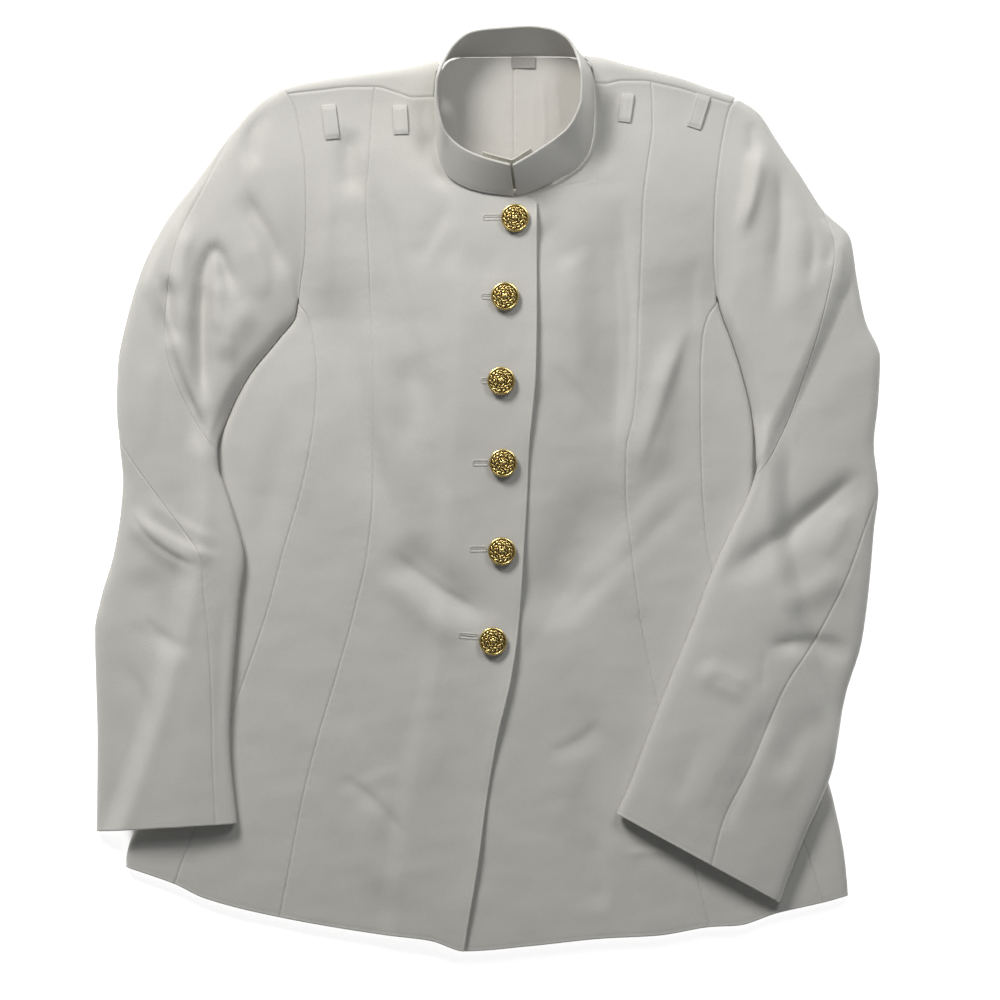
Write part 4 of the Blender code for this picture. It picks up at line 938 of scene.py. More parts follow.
def hanging_rows(top):
    """Level of the row t between a top line and the hem."""
    def level(t, x):
        return top(x) * (1 - t) + hem_y(x) * t
    return level


def shoulder_top(x):
    return shoulder_y(x) - SEAM_GAP / 2


def front_panel(node, first_line, last_line, height, edges):
    """A front panel from the shoulder seam to the hem, between two lines."""
    level = hanging_rows(shoulder_top)

    def surface(t, x):
        y = level(t, x)
        return np.stack((x, y, height(x, y)), axis=-1)

    def ends(t):
        first = solve_x(lambda x: level(t, x), first_line, len(t)) + SEAM_GAP / 2
        last = solve_x(lambda x: level(t, x), last_line, len(t)) - SEAM_GAP / 2
        return first, last

    rows = row_list(680.0, 1.0, FINE)
    seams = tuple(e for e in ("first", "last") if e not in edges) + ("top",)
    grid = Grid(surface, rows, ends, 1.0, FINE, seams=seams, free=tuple(edges) + ("bottom",))
    piece = shell(node.replace("front", "cloth_front"), [grid], CLOTH, TWILL)
    lay_out(piece, node, [grid])
    return piece


def underarm_panel(node, edge, seam, side):
    """A side panel that folds round the body's edge onto the underside."""
    level = hanging_rows(shoulder_top)
    top_x = float(LINE[seam](ARMPIT))
    top_y = float(shoulder_y(top_x))
    first_row = (top_y - ARMPIT + SEAM_GAP / 2) / (top_y - float(hem_y(top_x)))

    def place(t, arc):
        x = LINE[edge](level(t, side * 200.0)) - side * fold_round(arc, 4.0)[0]
        for _ in range(3):
            y = level(t, x)
            radius = edge_radius(y)
            x = LINE[edge](y) - side * fold_round(arc, radius)[0]
        return x, level(t, x), radius

    def surface(t, column):
        arc = -side * column
        x, y, radius = place(t, arc)
        inward, rise = fold_round(arc, radius)
        top = arc > 0
        crown = np.where(top, dressed_front(x, y) - CROWN_AT["edge"](y), 0.0)
        crown = crown * smooth(inward / (2 * radius))
        return np.stack((x, y, FLOOR_MID + radius + rise + crown), axis=-1)

    def ends(t):
        y = ARMPIT - (ARMPIT - UNDERARM_END) * (t - first_row) / (1 - first_row)
        for _ in range(8):
            x = LINE[seam](y)
            y = level(t, x)
        radius = edge_radius(y)
        arc = arc_for(np.abs(LINE[edge](y) - x) - SEAM_GAP / 2, radius)
        under = arc_for(under_reach(y) - SEAM_GAP / 2, radius)
        return np.minimum(-side * arc, side * under), np.maximum(-side * arc, side * under)

    rows = first_row + row_list(490.0, 1 - first_row, FINE)
    grid = Grid(surface, rows, ends, 1.0, FINE, seams=("first", "last"), free=("bottom",))
    piece = shell("cloth_" + node, [grid], CLOTH, TWILL)
    lay_out(piece, node, [grid])
    return piece


def centre_back(y):
    return 10.0 + 10.5 * (y + 20.0) / 360.0


def collar_side(side):
    """Line just outside the collar's neck seam on one side, as x against the level y."""
    stations = COLLAR[7:12] if side < 0 else COLLAR[17:22][::-1]
    return curve([y for _, y, _, _ in stations], [x + side * COLLAR_BESIDE for x, _, _, _ in stations])


def back_panel(node, edge, sleeve, side, neck_strip):
    """A back half: on the floor, then folded forward over the shoulder to its seam."""
    outer_x, outer_y, inner_x, inner_y = sleeve[0][:4]

    def armhole(y):
        straight = outer_x + (inner_x - outer_x) * (outer_y - y) / (outer_y - inner_y)
        return straight + BACK_ARMHOLE_SHARE * (LINE[edge](y) - straight)

    def fold_radius(x):
        return (shoulder_z(x) - FLOOR_MID) / 2

    def contact(x):
        beside = smooth((side * x - side * neck_strip + NECK_CONTACT_RUN) / NECK_CONTACT_RUN)
        neck = BACK_NECK - (BACK_NECK - fold_y(neck_strip) + fold_radius(neck_strip)) * beside
        return np.where(side * x < side * neck_strip, neck, fold_y(x) - fold_radius(x))

    def surface(k, x):
        radius = fold_radius(x)
        seam_in = fold_y(x) - shoulder_y(x) - SEAM_GAP / 2
        arc_seam = seam_in - radius + radius * math.pi / 2
        share = np.clip(-k, 0.0, 1.0)
        arc = -radius * math.pi / 2 + share * (arc_seam + radius * math.pi / 2)
        inward, rise = fold_round(arc, radius)
        floor_y = contact(x) * (1 - k) + hem_y(x) * k
        y = np.where(k < 0, fold_y(x) - inward, floor_y)
        low = creases_height(UNDERSIDE_CREASES, x, y) * smooth(k / 0.1)
        z = np.where(k < 0, FLOOR_MID + radius + rise, FLOOR_MID + low)
        return np.stack((x, y, z), axis=-1)

    def outer_line(k):
        def line(y):
            folded = LINE[edge](y)
            near = smooth((ARMPIT + ARMPIT_RUN - y) / ARMPIT_RUN)
            behind = armhole(y) - side * (BACK_HIDDEN_GAP + ARMPIT_GAP * near)
            below = folded - side * (under_reach(y) + SEAM_GAP)
            flat = np.where(y > ARMPIT, behind, below)
            rolled = smooth((-k - ROLL_FROM) / ROLL_RUN)
            return flat * (1 - rolled) + folded * rolled
        return line

    def neck_end(k):
        collar_x = solve_x(lambda x: surface(k, x)[..., 1], collar_side(side), len(k))
        reach = smooth((-k - NECK_END_FROM) / NECK_END_RUN)
        return neck_strip + (np.minimum(side * collar_x, side * neck_strip) * side - neck_strip) * reach

    def outer_end(k):
        return solve_x(lambda x: surface(k, x)[..., 1], outer_line(k), len(k)) - side * SEAM_GAP / 2

    def strip_ends(k):
        outer = outer_end(k)
        inner = neck_end(k)
        return np.minimum(outer, inner), np.maximum(outer, inner)

    def middle_ends(k):
        inner = solve_x(lambda x: surface(k, x)[..., 1], centre_back, len(k)) + side * SEAM_GAP / 2
        outer = np.full(len(k), neck_strip)
        return np.minimum(outer, inner), np.maximum(outer, inner)

    floor_rows = row_list(680.0, 1.0, COARSE, False, True)
    strip_rows = np.concatenate((-row_list(26.0, 1.0, 2.0, False, True)[:0:-1], floor_rows))
    outer_side = "first" if side < 0 else "last"
    inner_side = "last" if side < 0 else "first"
    strip = Grid(surface, strip_rows, strip_ends, 1.0, COARSE, seams=(outer_side, "top"),
                 free=("bottom",))
    middle = Grid(surface, floor_rows, middle_ends, 1.0, COARSE, seams=(inner_side,),
                  free=("bottom",))
    piece = shell("cloth_" + node, [strip, middle], CLOTH, TWILL)
    middle.width += strip.width
    lay_out(piece, node, [strip, middle])
    return piece


class Sleeve:
    """A flattened tube from the armhole to the cuff, which lies on the floor and the body."""

    def __init__(self, rows, edge, side, folds, step, creases):
        self.last = len(rows) - 1.0
        self.at = {name: curve(range(len(rows)), [row[i] for row in rows])
                   for i, name in enumerate(SLEEVE_COLUMNS)}
        self.edge = edge
        self.side = side
        self.folds = folds
        self.step = step
        self.creases = creases

    def inner_edge(self, u):
        """Inner edge in plan, kept beside the body's edge down to where it climbs over it."""
        x = self.at["inner_x"](u)
        y = self.at["inner_y"](u)
        beside = LINE[self.edge](y) + self.side * BESIDE
        apart = np.maximum(self.side * (x - beside) - DRAWN_IN, 0.0)
        further = beside + self.side * apart
        further = x + (further - x) * smooth(u / BESIDE_FROM)
        climbed = smooth((LIFT_FROM - LIFT_OVER + CLIMB_AHEAD - y) / CLIMB_RUN)
        return further * (1 - climbed) + x * climbed, y

    def lower_height(self, x, y):
        """Mid-surface of the underside: the floor, or just clear of the body's front."""
        inside = self.side * (LINE[self.edge](y) - x)
        over = smooth((LIFT_FROM - y) / LIFT_OVER) * smooth((inside + LIFT_START) / LIFT_RUN)
        nearest = np.where(inside < 0, LINE[self.edge](y), x)
        hem = smooth((y - hem_y(nearest) + HEM_AHEAD) / HEM_RUN)
        return FLOOR_MID + over * hem * (plain_height(nearest, y) + CLOTH / 2 + CLEARANCE)

    def surface(self, u, turn):
        turn = np.mod(turn, 2.0)
        top = turn <= 1.0
        share = np.where(top, turn, 2.0 - turn)
        outer_x = self.at["outer_x"](u)
        outer_y = self.at["outer_y"](u)
        inner_x, inner_y = self.inner_edge(u)
        width = np.hypot(inner_x - outer_x, inner_y - outer_y)
        radius = SLEEVE_EDGE
        half_girth = width - 2 * radius + math.pi * radius
        from_outer = share * half_girth
        from_inner = half_girth - from_outer
        inward, rise = fold_round(np.minimum(from_outer, from_inner), radius)
        v = np.where(from_outer < from_inner, inward, width - inward) / width
        x = outer_x + (inner_x - outer_x) * v
        y = outer_y + (inner_y - outer_y) * v
        joining = np.clip(1 - u / ARMHOLE_REACH, 0.0, 1.0) ** 2
        hole_x, hole_y = (self.at["outer_" + way](0.0) * (1 - v) + self.at["inner_" + way](0.0) * v
                          for way in ("x", "y"))
        bulge = (LINE[self.edge](hole_y) - hole_x) * 4 * v * (1 - v) / np.maximum(4 * v * (1 - v), 0.05)
        x = x + joining * np.where(top, 1.0, BACK_ARMHOLE_SHARE) * bulge
        x = x + self.side * joining * ARMHOLE_GAP
        base = self.lower_height(x, y)
        crown = self.at["crown"](u) * np.maximum(4 * v * (1 - v), 1e-6) ** 0.8
        detail = FOLD_DEPTH * folds_height(self.folds, x, y) + step_height(self.step, x, y, self.side)
        detail = detail + creases_height(self.creases, x, y) + waves_height(x, y)
        detail = detail * smooth(inward / SLEEVE_TOP_FADE)
        own = crown + detail
        body = plain_height(x, y) - (FLOOR_MID + 2 * radius)
        leaving = smooth(u / LEAVING)
        above = body * (1 - leaving) + own * leaving
        above = above * (1 - leaving + leaving * smooth(inward / (2 * radius)))
        above = np.maximum(above, SKIN_ROOM - 2 * radius)
        below = creases_height(UNDERSIDE_CREASES, x, y) * smooth(inward / SLEEVE_UNDER_FADE)
        z = base + radius + np.where(top, rise + above, below - rise)
        return np.stack((x, y, z), axis=-1)

    def piece(self, node, first, last, turns, rests_on):
        """The cloth between two seams, each given by its column and whole turns added."""
        def ends(u):
            gap = SLEEVE_SEAM / 2 / GIRTH_HALF
            return self.at[first](u) + 2.0 * turns[0] + gap, self.at[last](u) + 2.0 * turns[1] - gap

        rows = row_list(620.0, self.last, FINE)
        grid = Grid(self.surface, rows, ends, GIRTH_HALF, FINE, seams=("first", "last", "top"),
                    free=("bottom",))
        piece = shell("cloth_" + node, [grid], CLOTH, TWILL)
        lay_out(piece, node, [grid])
        return piece


def collar_seam_z(x, y):
    """The band's bottom: on the fronts, and down beside the shoulder to the back's neck."""
    on_front = plain_height(x, y) + CLOTH / 2 + COLLAR_SEAT + LAP_LIFT
    start = shoulder_y(x) + COLLAR_DOWN_FROM
    down = smooth((y - start) / (COLLAR_DOWN_TO - start))
    return on_front * (1 - down) + COLLAR_FLOOR * down


def band_surface(stations, inward):
    """A leaning band over a list of collar stations, moved in square to itself."""
    at = {name: curve(range(len(stations)), [row[i] for row in stations])
          for i, name in enumerate(COLLAR_COLUMNS)}

    def surface(k, h):
        seam_x, seam_y, top_x, top_y = (at[name](k) for name in COLLAR_COLUMNS)
        bottom = collar_seam_z(seam_x, seam_y)
        lean = np.hypot(top_x - seam_x, top_y - seam_y)
        rise = np.sqrt(COLLAR_HEIGHT ** 2 - lean ** 2)
        move = inward * rise / (COLLAR_HEIGHT * lean)
        x = seam_x + (top_x - seam_x) * (h + move)
        y = seam_y + (top_y - seam_y) * (h + move)
        return np.stack((x, y, bottom + rise * h - inward * lean / COLLAR_HEIGHT), axis=-1)

    return surface


def collar_band():
    """The stand collar, a stiff band that is turned over an interlining."""
    rows = row_list(360.0, len(COLLAR) - 1.0, 2.0)
    grid = Grid(band_surface(COLLAR, 0.0), rows, lambda k: (np.zeros(len(k)), np.ones(len(k))),
                COLLAR_HEIGHT, 1.8, seams=(), free=ALL_ROUND)
    piece = shell("cloth_collar", [grid], COLLAR_WALL, TWILL)
    lay_out(piece, "collar", [grid])
    return piece


def collar_underlap():
    """The strip behind the collar's opening, which shows a little above the band."""
    stations = COLLAR[UNDERLAP_STATIONS - 1::-1] + COLLAR[:-UNDERLAP_STATIONS - 1:-1]
    inward = COLLAR_WALL / 2 + UNDERLAP_GAP + UNDERLAP_WALL / 2
    rows = UNDERLAP_ENDS + row_list(44.0, len(stations) - 1.0 - 2 * UNDERLAP_ENDS, 1.8)
    grid = Grid(band_surface(stations, inward), rows,
                lambda k: (np.full(len(k), UNDERLAP_FROM), np.full(len(k), UNDERLAP_TO)),
                COLLAR_HEIGHT, 1.8, seams=(), free=ALL_ROUND)
    piece = shell("cloth_underlap", [grid], UNDERLAP_WALL, CREAM)
    lay_out(piece, "collar_underlap", [grid])
    return piece


def neck_line(right):
    """Neck edge of a front: the collar's seam moved in under the band."""
    stations = COLLAR[:9] if right else COLLAR[:-9:-1]
    centre_x, centre_y = NECK_CENTRE
    xs = []
    ys = []
    for seam_x, seam_y, _, _ in stations:
        inward = 1 - COLLAR_LAP / math.hypot(seam_x - centre_x, seam_y - centre_y)
        xs.append(centre_x + (seam_x - centre_x) * inward)
        ys.append(centre_y + (seam_y - centre_y) * inward)
    return xs, ys


def front_opening_line(right):
    """Neck edge and then the front edge, as x against the level y."""
    xs, ys = neck_line(right)
    if right:
        corner_x = float(LINE["opening"](CORNER_EDGE))
        xs = [corner_x, corner_x - CORNER_WIDTH, NECK_START[0]] + xs[1:]
        ys = [*CORNER_LEVELS, NECK_START[1]] + ys[1:]
    edge_shift = 0.0 if right else -LAP_WIDTH
    neck = curve(ys, xs)
    low = min(ys)

    def at(y):
        return np.where(y > low, neck(y), LINE["opening"](y) + edge_shift)

    return at


def neck_lining(node, right):
    """Satin lining of the back, with the small pleat and pulls that show in the neck."""
    right_x = table_curve(LINING_SIDES, LINING_COLUMNS, "y", "right_x")
    left_x = table_curve(LINING_SIDES, LINING_COLUMNS, "y", "left_x")
    top = LINING_SIDES[-1][0]

    def surface(y, x):
        z = np.full(np.shape(x), CLOTH + SEAT_GAP + LINING / 2)
        for points, half_width, depth in LINING_CREASES:
            distance, share, _ = bent_line(softened(points), x, y)
            ends = smooth(share / LINING_ENDS) * smooth((1 - share) / LINING_ENDS)
            z = z + depth * ends * np.exp(-(distance / half_width) ** 2)
        return np.stack((x, y, z), axis=-1)

    def ends(y):
        middle = np.full(len(y), LINING_SEAM)
        if right:
            return right_x(y), middle - SEAM_GAP / 2
        return middle + SEAM_GAP / 2, left_x(y)

    rows = top - row_list(135.0, top - LINING_BOTTOM, 1.6, False, False)
    grid = Grid(surface, rows, ends, 1.0, 1.6, seams=("last",) if right else ("first",))
    piece = shell("satin_" + node, [grid], LINING, SATIN)
    lay_out(piece, node, [grid])
    return piece


def hanger_loop():
    """A small blank tab of folded tape on the lining below the collar."""
    def surface(h, x):
        y = HANGER_HIGH[0] + (HANGER_LOW[0] - HANGER_HIGH[0]) * h
        z = HANGER_HIGH[1] + (HANGER_LOW[1] - HANGER_HIGH[1]) * h
        return np.stack((x, y, z + HANGER_SWAY * np.sin((x - HANGER_X) / 3.1) * h), axis=-1)

    def ends(h):
        middle = np.full(len(h), HANGER_X)
        return middle - HANGER_WIDTH / 2, middle + HANGER_WIDTH / 2

    grid = Grid(surface, row_list(9.0, 1.0, 1.0), ends, 1.0, 1.2, seams=(), free=ALL_ROUND)
    piece = shell("satin_hanger_loop", [grid], HANGER_WALL, TAPE)
    lay_out(piece, "hanger_loop", [grid])
    return piece


def leaning(x, y, lean, across, up):
    """A point in plan, from its place across and up a piece that leans about its centre."""
    cos = math.cos(math.radians(lean))
    sin = math.sin(math.radians(lean))
    return x + across * cos - up * sin, y + across * sin + up * cos


def shoulder_loop(node, x, y, width, length, lean):
    """A narrow strap sewn down at both ends, with its sides turned under."""
    def surface(t, s):
        px, py = leaning(x, y, lean, s, (0.5 - t) * length)
        arch = LOOP_ARCH * smooth(t / LOOP_RISE) * smooth((1 - t) / LOOP_RISE)
        z = dressed_front(px, py) + CLOTH / 2 + LOOP_WALL / 2 + LOOP_SEAT + arch
        return np.stack((px, py, z), axis=-1)

    def ends(t):
        return np.full(len(t), -width / 2), np.full(len(t), width / 2)

    grid = Grid(surface, row_list(length, 1.0, 1.0), ends, 1.0, 1.1, seams=(), free=ALL_ROUND)
    panel = "front_side_" if "outer" in node else "front_centre_"
    piece = shell("cloth_" + node, [grid], LOOP_WALL, TWILL)
    lay_out(piece, node, [grid])
    return piece


def button_height(radius, angle):
    """Face of a button: a plain rim, three rings of leaves and a rosette."""
    dome = DOME_EDGE + DOME_RISE * (1 - (radius / BUTTON_RADIUS) ** 2)
    rim = RIM_HEIGHT * np.sqrt(np.clip(1 - ((radius - RIM_RADIUS) / RIM_HALF_WIDTH) ** 4, 0, 1))
    leaves = np.zeros(np.shape(radius))
    for middle, half, count, lean in LEAF_RINGS:
        across = np.clip(1 - ((radius - middle) / half) ** 2, 0, 1)
        blade = np.abs(np.sin(count * angle + lean * (radius - middle)))
        leaves = leaves + across ** 0.8 * blade ** 1.3 * LEAF_HEIGHT
        leaves = leaves - LEAF_VEIN * across * np.exp(-((blade - 1) / 0.06) ** 2)
    petal = ROSETTE_RADIUS * (0.6 + 0.4 * np.abs(np.cos(HALF_PETALS * angle)) ** 0.8)
    rosette = ROSETTE_HEIGHT * np.clip(1 - (radius / petal) ** 2, 0, 1) ** 0.5
    relief = rim + leaves + rosette
    return dome + relief * smooth((BUTTON_RADIUS + 0.05 - radius) / 0.3), relief


def button(node, x, y):
    """A domed shank button: its raised face, the turned-over edge and the shank."""
    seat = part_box(node)[0][2] / MM
    sides = BUTTON_SIDES
    radii = np.concatenate(([0.35], np.linspace(0.8, BUTTON_RADIUS, BUTTON_RINGS)))
    angles = 2 * math.pi * np.arange(sides) / sides + 0.3 * math.sin(x + y)
    rr, aa = np.meshgrid(radii, angles, indexing="ij")
    height, relief = button_height(rr, aa - angles[0])
    rings = [(rr[i], height[i], relief[i]) for i in range(len(radii))]
    for radius, level in BUTTON_BACK:
        rings.append((np.full(sides, radius), np.full(sides, level), np.full(sides, 0.25)))
    points = np.concatenate([np.stack((x + r * np.cos(angles), y + r * np.sin(angles), seat + z), axis=-1)
                             for r, z, _ in rings])
    index = np.arange(len(rings) * sides).reshape(len(rings), sides)
    nextto = np.roll(index, -1, axis=1)
    faces = np.stack((index[:-1], index[1:], nextto[1:], nextto[:-1]), axis=-1)
    faces = faces.reshape(-1, 4).tolist()
    faces.append(index[0].tolist())
    faces.append(index[-1][::-1].tolist())
    piece = mesh_piece(node.replace("button", "gilt_button"), points, faces, GILT)
    # The relief's height: the gilt paints shade into the low parts from it, and the back's rings, set at
    # 0.25, get part of that painted shade
    raised = piece.data.attributes.new("raised", "FLOAT", "POINT")
    raised.data.foreach_set("value", np.concatenate([r for _, _, r in rings]).astype(np.float32))
    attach(piece, "root")
    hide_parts(node)
    return piece


def stitch_tree():
    """Stitches along a line: grains of thread, each lying along it or across it."""
    tree = bpy.data.node_groups.new("stitches", "GeometryNodeTree")
    tree.interface.new_socket("Line", in_out="INPUT", socket_type="NodeSocketGeometry")
    tree.interface.new_socket("Pitch", in_out="INPUT", socket_type="NodeSocketFloat")
    tree.interface.new_socket("Grain", in_out="INPUT", socket_type="NodeSocketVector")
    tree.interface.new_socket("Thread", in_out="INPUT", socket_type="NodeSocketMaterial")
    tree.interface.new_socket("Stitches", in_out="OUTPUT", socket_type="NodeSocketGeometry")
    add = tree.nodes.new
    link = tree.links.new
    inputs = add("NodeGroupInput")
    out = add("NodeGroupOutput")
    spots = add("GeometryNodeCurveToPoints")
    spots.mode = "LENGTH"
    grain = add("GeometryNodeMeshUVSphere")
    grain.inputs["Segments"].default_value = 6
    grain.inputs["Rings"].default_value = 4
    grain.inputs["Radius"].default_value = 0.5
    along = add("FunctionNodeAlignRotationToVector")
    along.axis = "Z"
    upright = add("FunctionNodeAlignRotationToVector")
    upright.axis = "X"
    upright.pivot_axis = "Z"
    upright.inputs["Vector"].default_value = (0, 0, 1)
    place = add("GeometryNodeInstanceOnPoints")
    real = add("GeometryNodeRealizeInstances")
    shade = add("GeometryNodeSetShadeSmooth")
    cover = add("GeometryNodeSetMaterial")
    link(inputs.outputs["Line"], spots.inputs["Curve"])
    link(inputs.outputs["Pitch"], spots.inputs["Length"])
    link(spots.outputs["Tangent"], along.inputs["Vector"])
    link(along.outputs["Rotation"], upright.inputs["Rotation"])
    link(spots.outputs["Points"], place.inputs["Points"])
    link(grain.outputs["Mesh"], place.inputs["Instance"])
    link(upright.outputs["Rotation"], place.inputs["Rotation"])
    link(inputs.outputs["Grain"], place.inputs["Scale"])
    link(place.outputs["Instances"], real.inputs["Geometry"])
    link(real.outputs["Geometry"], shade.inputs["Geometry"])
    link(shade.outputs["Geometry"], cover.inputs["Geometry"])
    link(inputs.outputs["Thread"], cover.inputs["Material"])
    link(cover.outputs["Geometry"], out.inputs["Stitches"])
    return tree


def stitches(name, lines, stitch, closed=False):
    """A plain mesh of the stitches along a number of lines, in millimetres."""
    pitch, grain = stitch
    data = bpy.data.curves.new(name + "_lines", "CURVE")
    data.dimensions = "3D"
    for points in lines:
        spline = data.splines.new("POLY")
        spline.points.add(len(points) - 1)
        places_and_weights = np.hstack((np.asarray(points) * MM, np.ones((len(points), 1))))
        spline.points.foreach_set("co", places_and_weights.ravel())
        spline.use_cyclic_u = closed
    guide = bpy.data.objects.new(name + "_lines", data)
    bpy.context.scene.collection.objects.link(guide)
    modifier = guide.modifiers.new("stitches", "NODES")
    modifier.node_group = STITCH_TREE
    sockets = {item.name: item.identifier for item in STITCH_TREE.interface.items_tree
               if item.in_out == "INPUT"}
    modifier[sockets["Pitch"]] = pitch * MM
    modifier[sockets["Grain"]] = [size * MM for size in grain]
    modifier[sockets["Thread"]] = THREAD
    bpy.context.view_layer.update()
    evaluated = guide.evaluated_get(bpy.context.evaluated_depsgraph_get())
    mesh = bpy.data.meshes.new_from_object(evaluated)
    piece = bpy.data.objects.new(name, mesh)
    bpy.context.scene.collection.objects.link(piece)
    bpy.data.objects.remove(guide)
    if not mesh.materials:
        mesh.materials.append(THREAD)
    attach(piece, "root")
    return piece


def on_lap(points):
    """Points in plan laid on the right front, a thread's half width above it."""
    x, y = np.array(points, float).T
    return np.stack((x, y, dressed_lap(x, y) + CLOTH / 2), axis=-1)


def topstitching():
    """The row of stitches that runs beside the free front edge and along the hem."""
    y = np.linspace(*EDGE_SEWN, 420)
    edge = np.stack((LINE["opening"](y) - STITCH_INSET, y), axis=-1)
    hem_lines = []
    for sewn, height in ((HEM_SEWN_RIGHT, dressed_lap), (HEM_SEWN_LEFT, dressed_front)):
        x = np.linspace(*sewn, 160)
        level = hem_y(x) + HEM_STITCH_UP
        hem_lines.append(np.stack((x, level, height(x, level) + CLOTH / 2), axis=-1))
    stitches("front_edge_stitches", [on_lap(edge)], FRONT_STITCH)
    stitches("hem_stitches", hem_lines, HEM_STITCH)


def sleeve_stitching(sleeve, word):
    """Felling stitches inside the fold of the cuff, which show as small pricks."""
    turn = np.linspace(*CUFF_SEWN, 60)
    points = sleeve.surface(np.full(60, sleeve.last - CUFF_STITCH_UP), turn)
    points[:, 2] += CLOTH / 2 - 0.05
    stitches("cuff_stitches_" + word, [points], CUFF_STITCH)


def loop_stitching():
    """Short rows of stitches that hold down the ends of the shoulder loops."""
    lines = []
    for _, x, y, width, length, lean in LOOPS:
        for share in (LOOP_STITCH, 1 - LOOP_STITCH):
            across = np.linspace(STRAP_SEWN_IN - width / 2, width / 2 - STRAP_SEWN_IN, 12)
            px, py = leaning(x, y, lean, across, (0.5 - share) * length)
            arch = LOOP_ARCH * float(smooth(min(share, 1 - share) / LOOP_RISE))
            z = dressed_front(px, py) + CLOTH / 2 + LOOP_WALL + LOOP_SEAT + arch - 0.1
            lines.append(np.stack((px, py, z), axis=-1))
    stitches("loop_stitches", lines, STRAP_STITCH)


def buttonholes():
    """Worked holes in the right front: close-set thread round a narrow slit, whose shade is painted on a
    dark sheet.
    """
    rims = []
    points = []
    faces = []
    turn = np.linspace(0, 2 * math.pi, HOLE_POINTS + 1)[:-1]
    foot = np.arange(HOLE_POINTS)
    after = np.roll(foot, -1)
    for start, end, level, lean in BUTTONHOLES:
        middle = (start + end) / 2
        reach = (end - start) / 2 - HOLE_END
        run = np.abs(np.cos(turn)) * (reach + HOLE_END)
        across = np.sign(np.cos(turn)) * np.minimum(run, reach)
        across = across + HOLE_END_ROUND * np.cos(turn) * (run > reach)
        up = np.clip(np.sin(turn) * HOLE_STEEPNESS, -HOLE_HALF_WIDTH, HOLE_HALF_WIDTH)
        rims.append(on_lap(np.stack(leaning(middle, level, lean, across, up), axis=-1)))
        base = len(points)
        for share, rise in SLIT_LEVELS:
            line = leaning(middle, level, lean, across * SLIT_SHARE, up * share)
            ring = on_lap(np.stack(line, axis=-1))
            ring[:, 2] += rise
            points.extend(ring)
        top = foot + HOLE_POINTS
        sides = np.stack((foot, after, after + HOLE_POINTS, top), axis=-1) + base
        faces.extend(sides.tolist())
        faces.append((base + top).tolist())
        faces.append((base + foot)[::-1].tolist())
    stitches("buttonhole_stitches", rims, HOLE_STITCH, closed=True)
    # The slit is a dark sheet with painted shade, standing for the shade inside the cut
    slit = mesh_piece("buttonhole_slits", points, faces, SLIT_SHADE)
    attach(slit, "root")


def new_material(name, roughness=None):
    """An empty material: itself, its shader, and the calls that add and link its nodes."""
    material = bpy.data.materials.new(name)
    material.use_nodes = True
    tree = material.node_tree
    shader = tree.nodes["Principled BSDF"]
    if roughness is not None:
        shader.inputs["Roughness"].default_value = roughness
    return material, shader, tree.nodes.new, tree.links.new


def given(node, **values):
    """A node with values set on its inputs, which are named with _ for a space."""
    for name, value in values.items():
        node.inputs[name.replace("_", " ")].default_value = value
    return node


def noise(add, link, scale, detail):
    """Strength of a noise that is fixed to the piece."""
    where = add("ShaderNodeTexCoord")
    texture = given(add("ShaderNodeTexNoise"), Scale=scale, Detail=detail)
    link(where.outputs["Object"], texture.inputs["Vector"])
    return texture.outputs["Fac"]


def raised_by(add, link, height, strength, distance):
    """A bump node that follows a height."""
    bump = given(add("ShaderNodeBump"), Strength=strength, Distance=distance)
    link(height, bump.inputs["Height"])
    return bump


def blend(add, link, share, low, high):
    """A colour between two others. Each is given as its place on the ramp and its colour."""
    ramp = add("ShaderNodeValToRGB")
    for element, (place, colour) in zip(ramp.color_ramp.elements, (low, high)):
        element.position = place
        element.color = (*colour, 1)
    link(share, ramp.inputs["Fac"])
    return ramp.outputs["Color"]


def cloth_material(name, colour, roughness, sheen, twill, soft):
    """Woven cloth: fine diagonal ribs, fibres, soft unevenness and a slight change of tone."""
    material, shader, add, link = new_material(name, roughness)
    given(shader, Sheen_Weight=sheen, Sheen_Roughness=0.5, Specular_IOR_Level=0.25)
    mix = add("ShaderNodeMix")
    mix.data_type = "RGBA"
    mix.inputs["A"].default_value = (*[c * 0.955 for c in colour[:2]], colour[2] * 0.93, 1)
    mix.inputs["B"].default_value = (*[min(c * 1.02, 1) for c in colour], 1)
    level = add("ShaderNodeMath")
    level.operation = "SUBTRACT"
    level.inputs[1].default_value = 0.9
    link(noise(add, link, 7.0, 3.0), level.inputs[0])
    speckle = add("ShaderNodeMath")
    speckle.operation = "MULTIPLY_ADD"
    speckle.inputs[1].default_value = 1.8
    link(noise(add, link, 700.0, 2.0), speckle.inputs[0])
    link(level.outputs["Value"], speckle.inputs[2])
    link(speckle.outputs["Value"], mix.inputs["Factor"])
    link(mix.outputs["Result"], shader.inputs["Base Color"])
    uneven = noise(add, link, 55.0, 4.0)
    uneven.node.inputs["Roughness"].default_value = 0.55
    low = raised_by(add, link, uneven, soft, 0.0009)
    ribs = given(add("ShaderNodeTexWave"), Scale=560.0, Distortion=1.2, Detail=1.0)
    ribs.bands_direction = "DIAGONAL"
    where = add("ShaderNodeTexCoord")
    link(where.outputs["UV"], ribs.inputs["Vector"])
    both = add("ShaderNodeMath")
    both.operation = "ADD"
    link(ribs.outputs["Fac"], both.inputs[0])
    link(noise(add, link, 1400.0, 2.0), both.inputs[1])
    fine = raised_by(add, link, both.outputs["Value"], twill, 0.00012)
    link(low.outputs["Normal"], fine.inputs["Normal"])
    link(fine.outputs["Normal"], shader.inputs["Normal"])
    return material


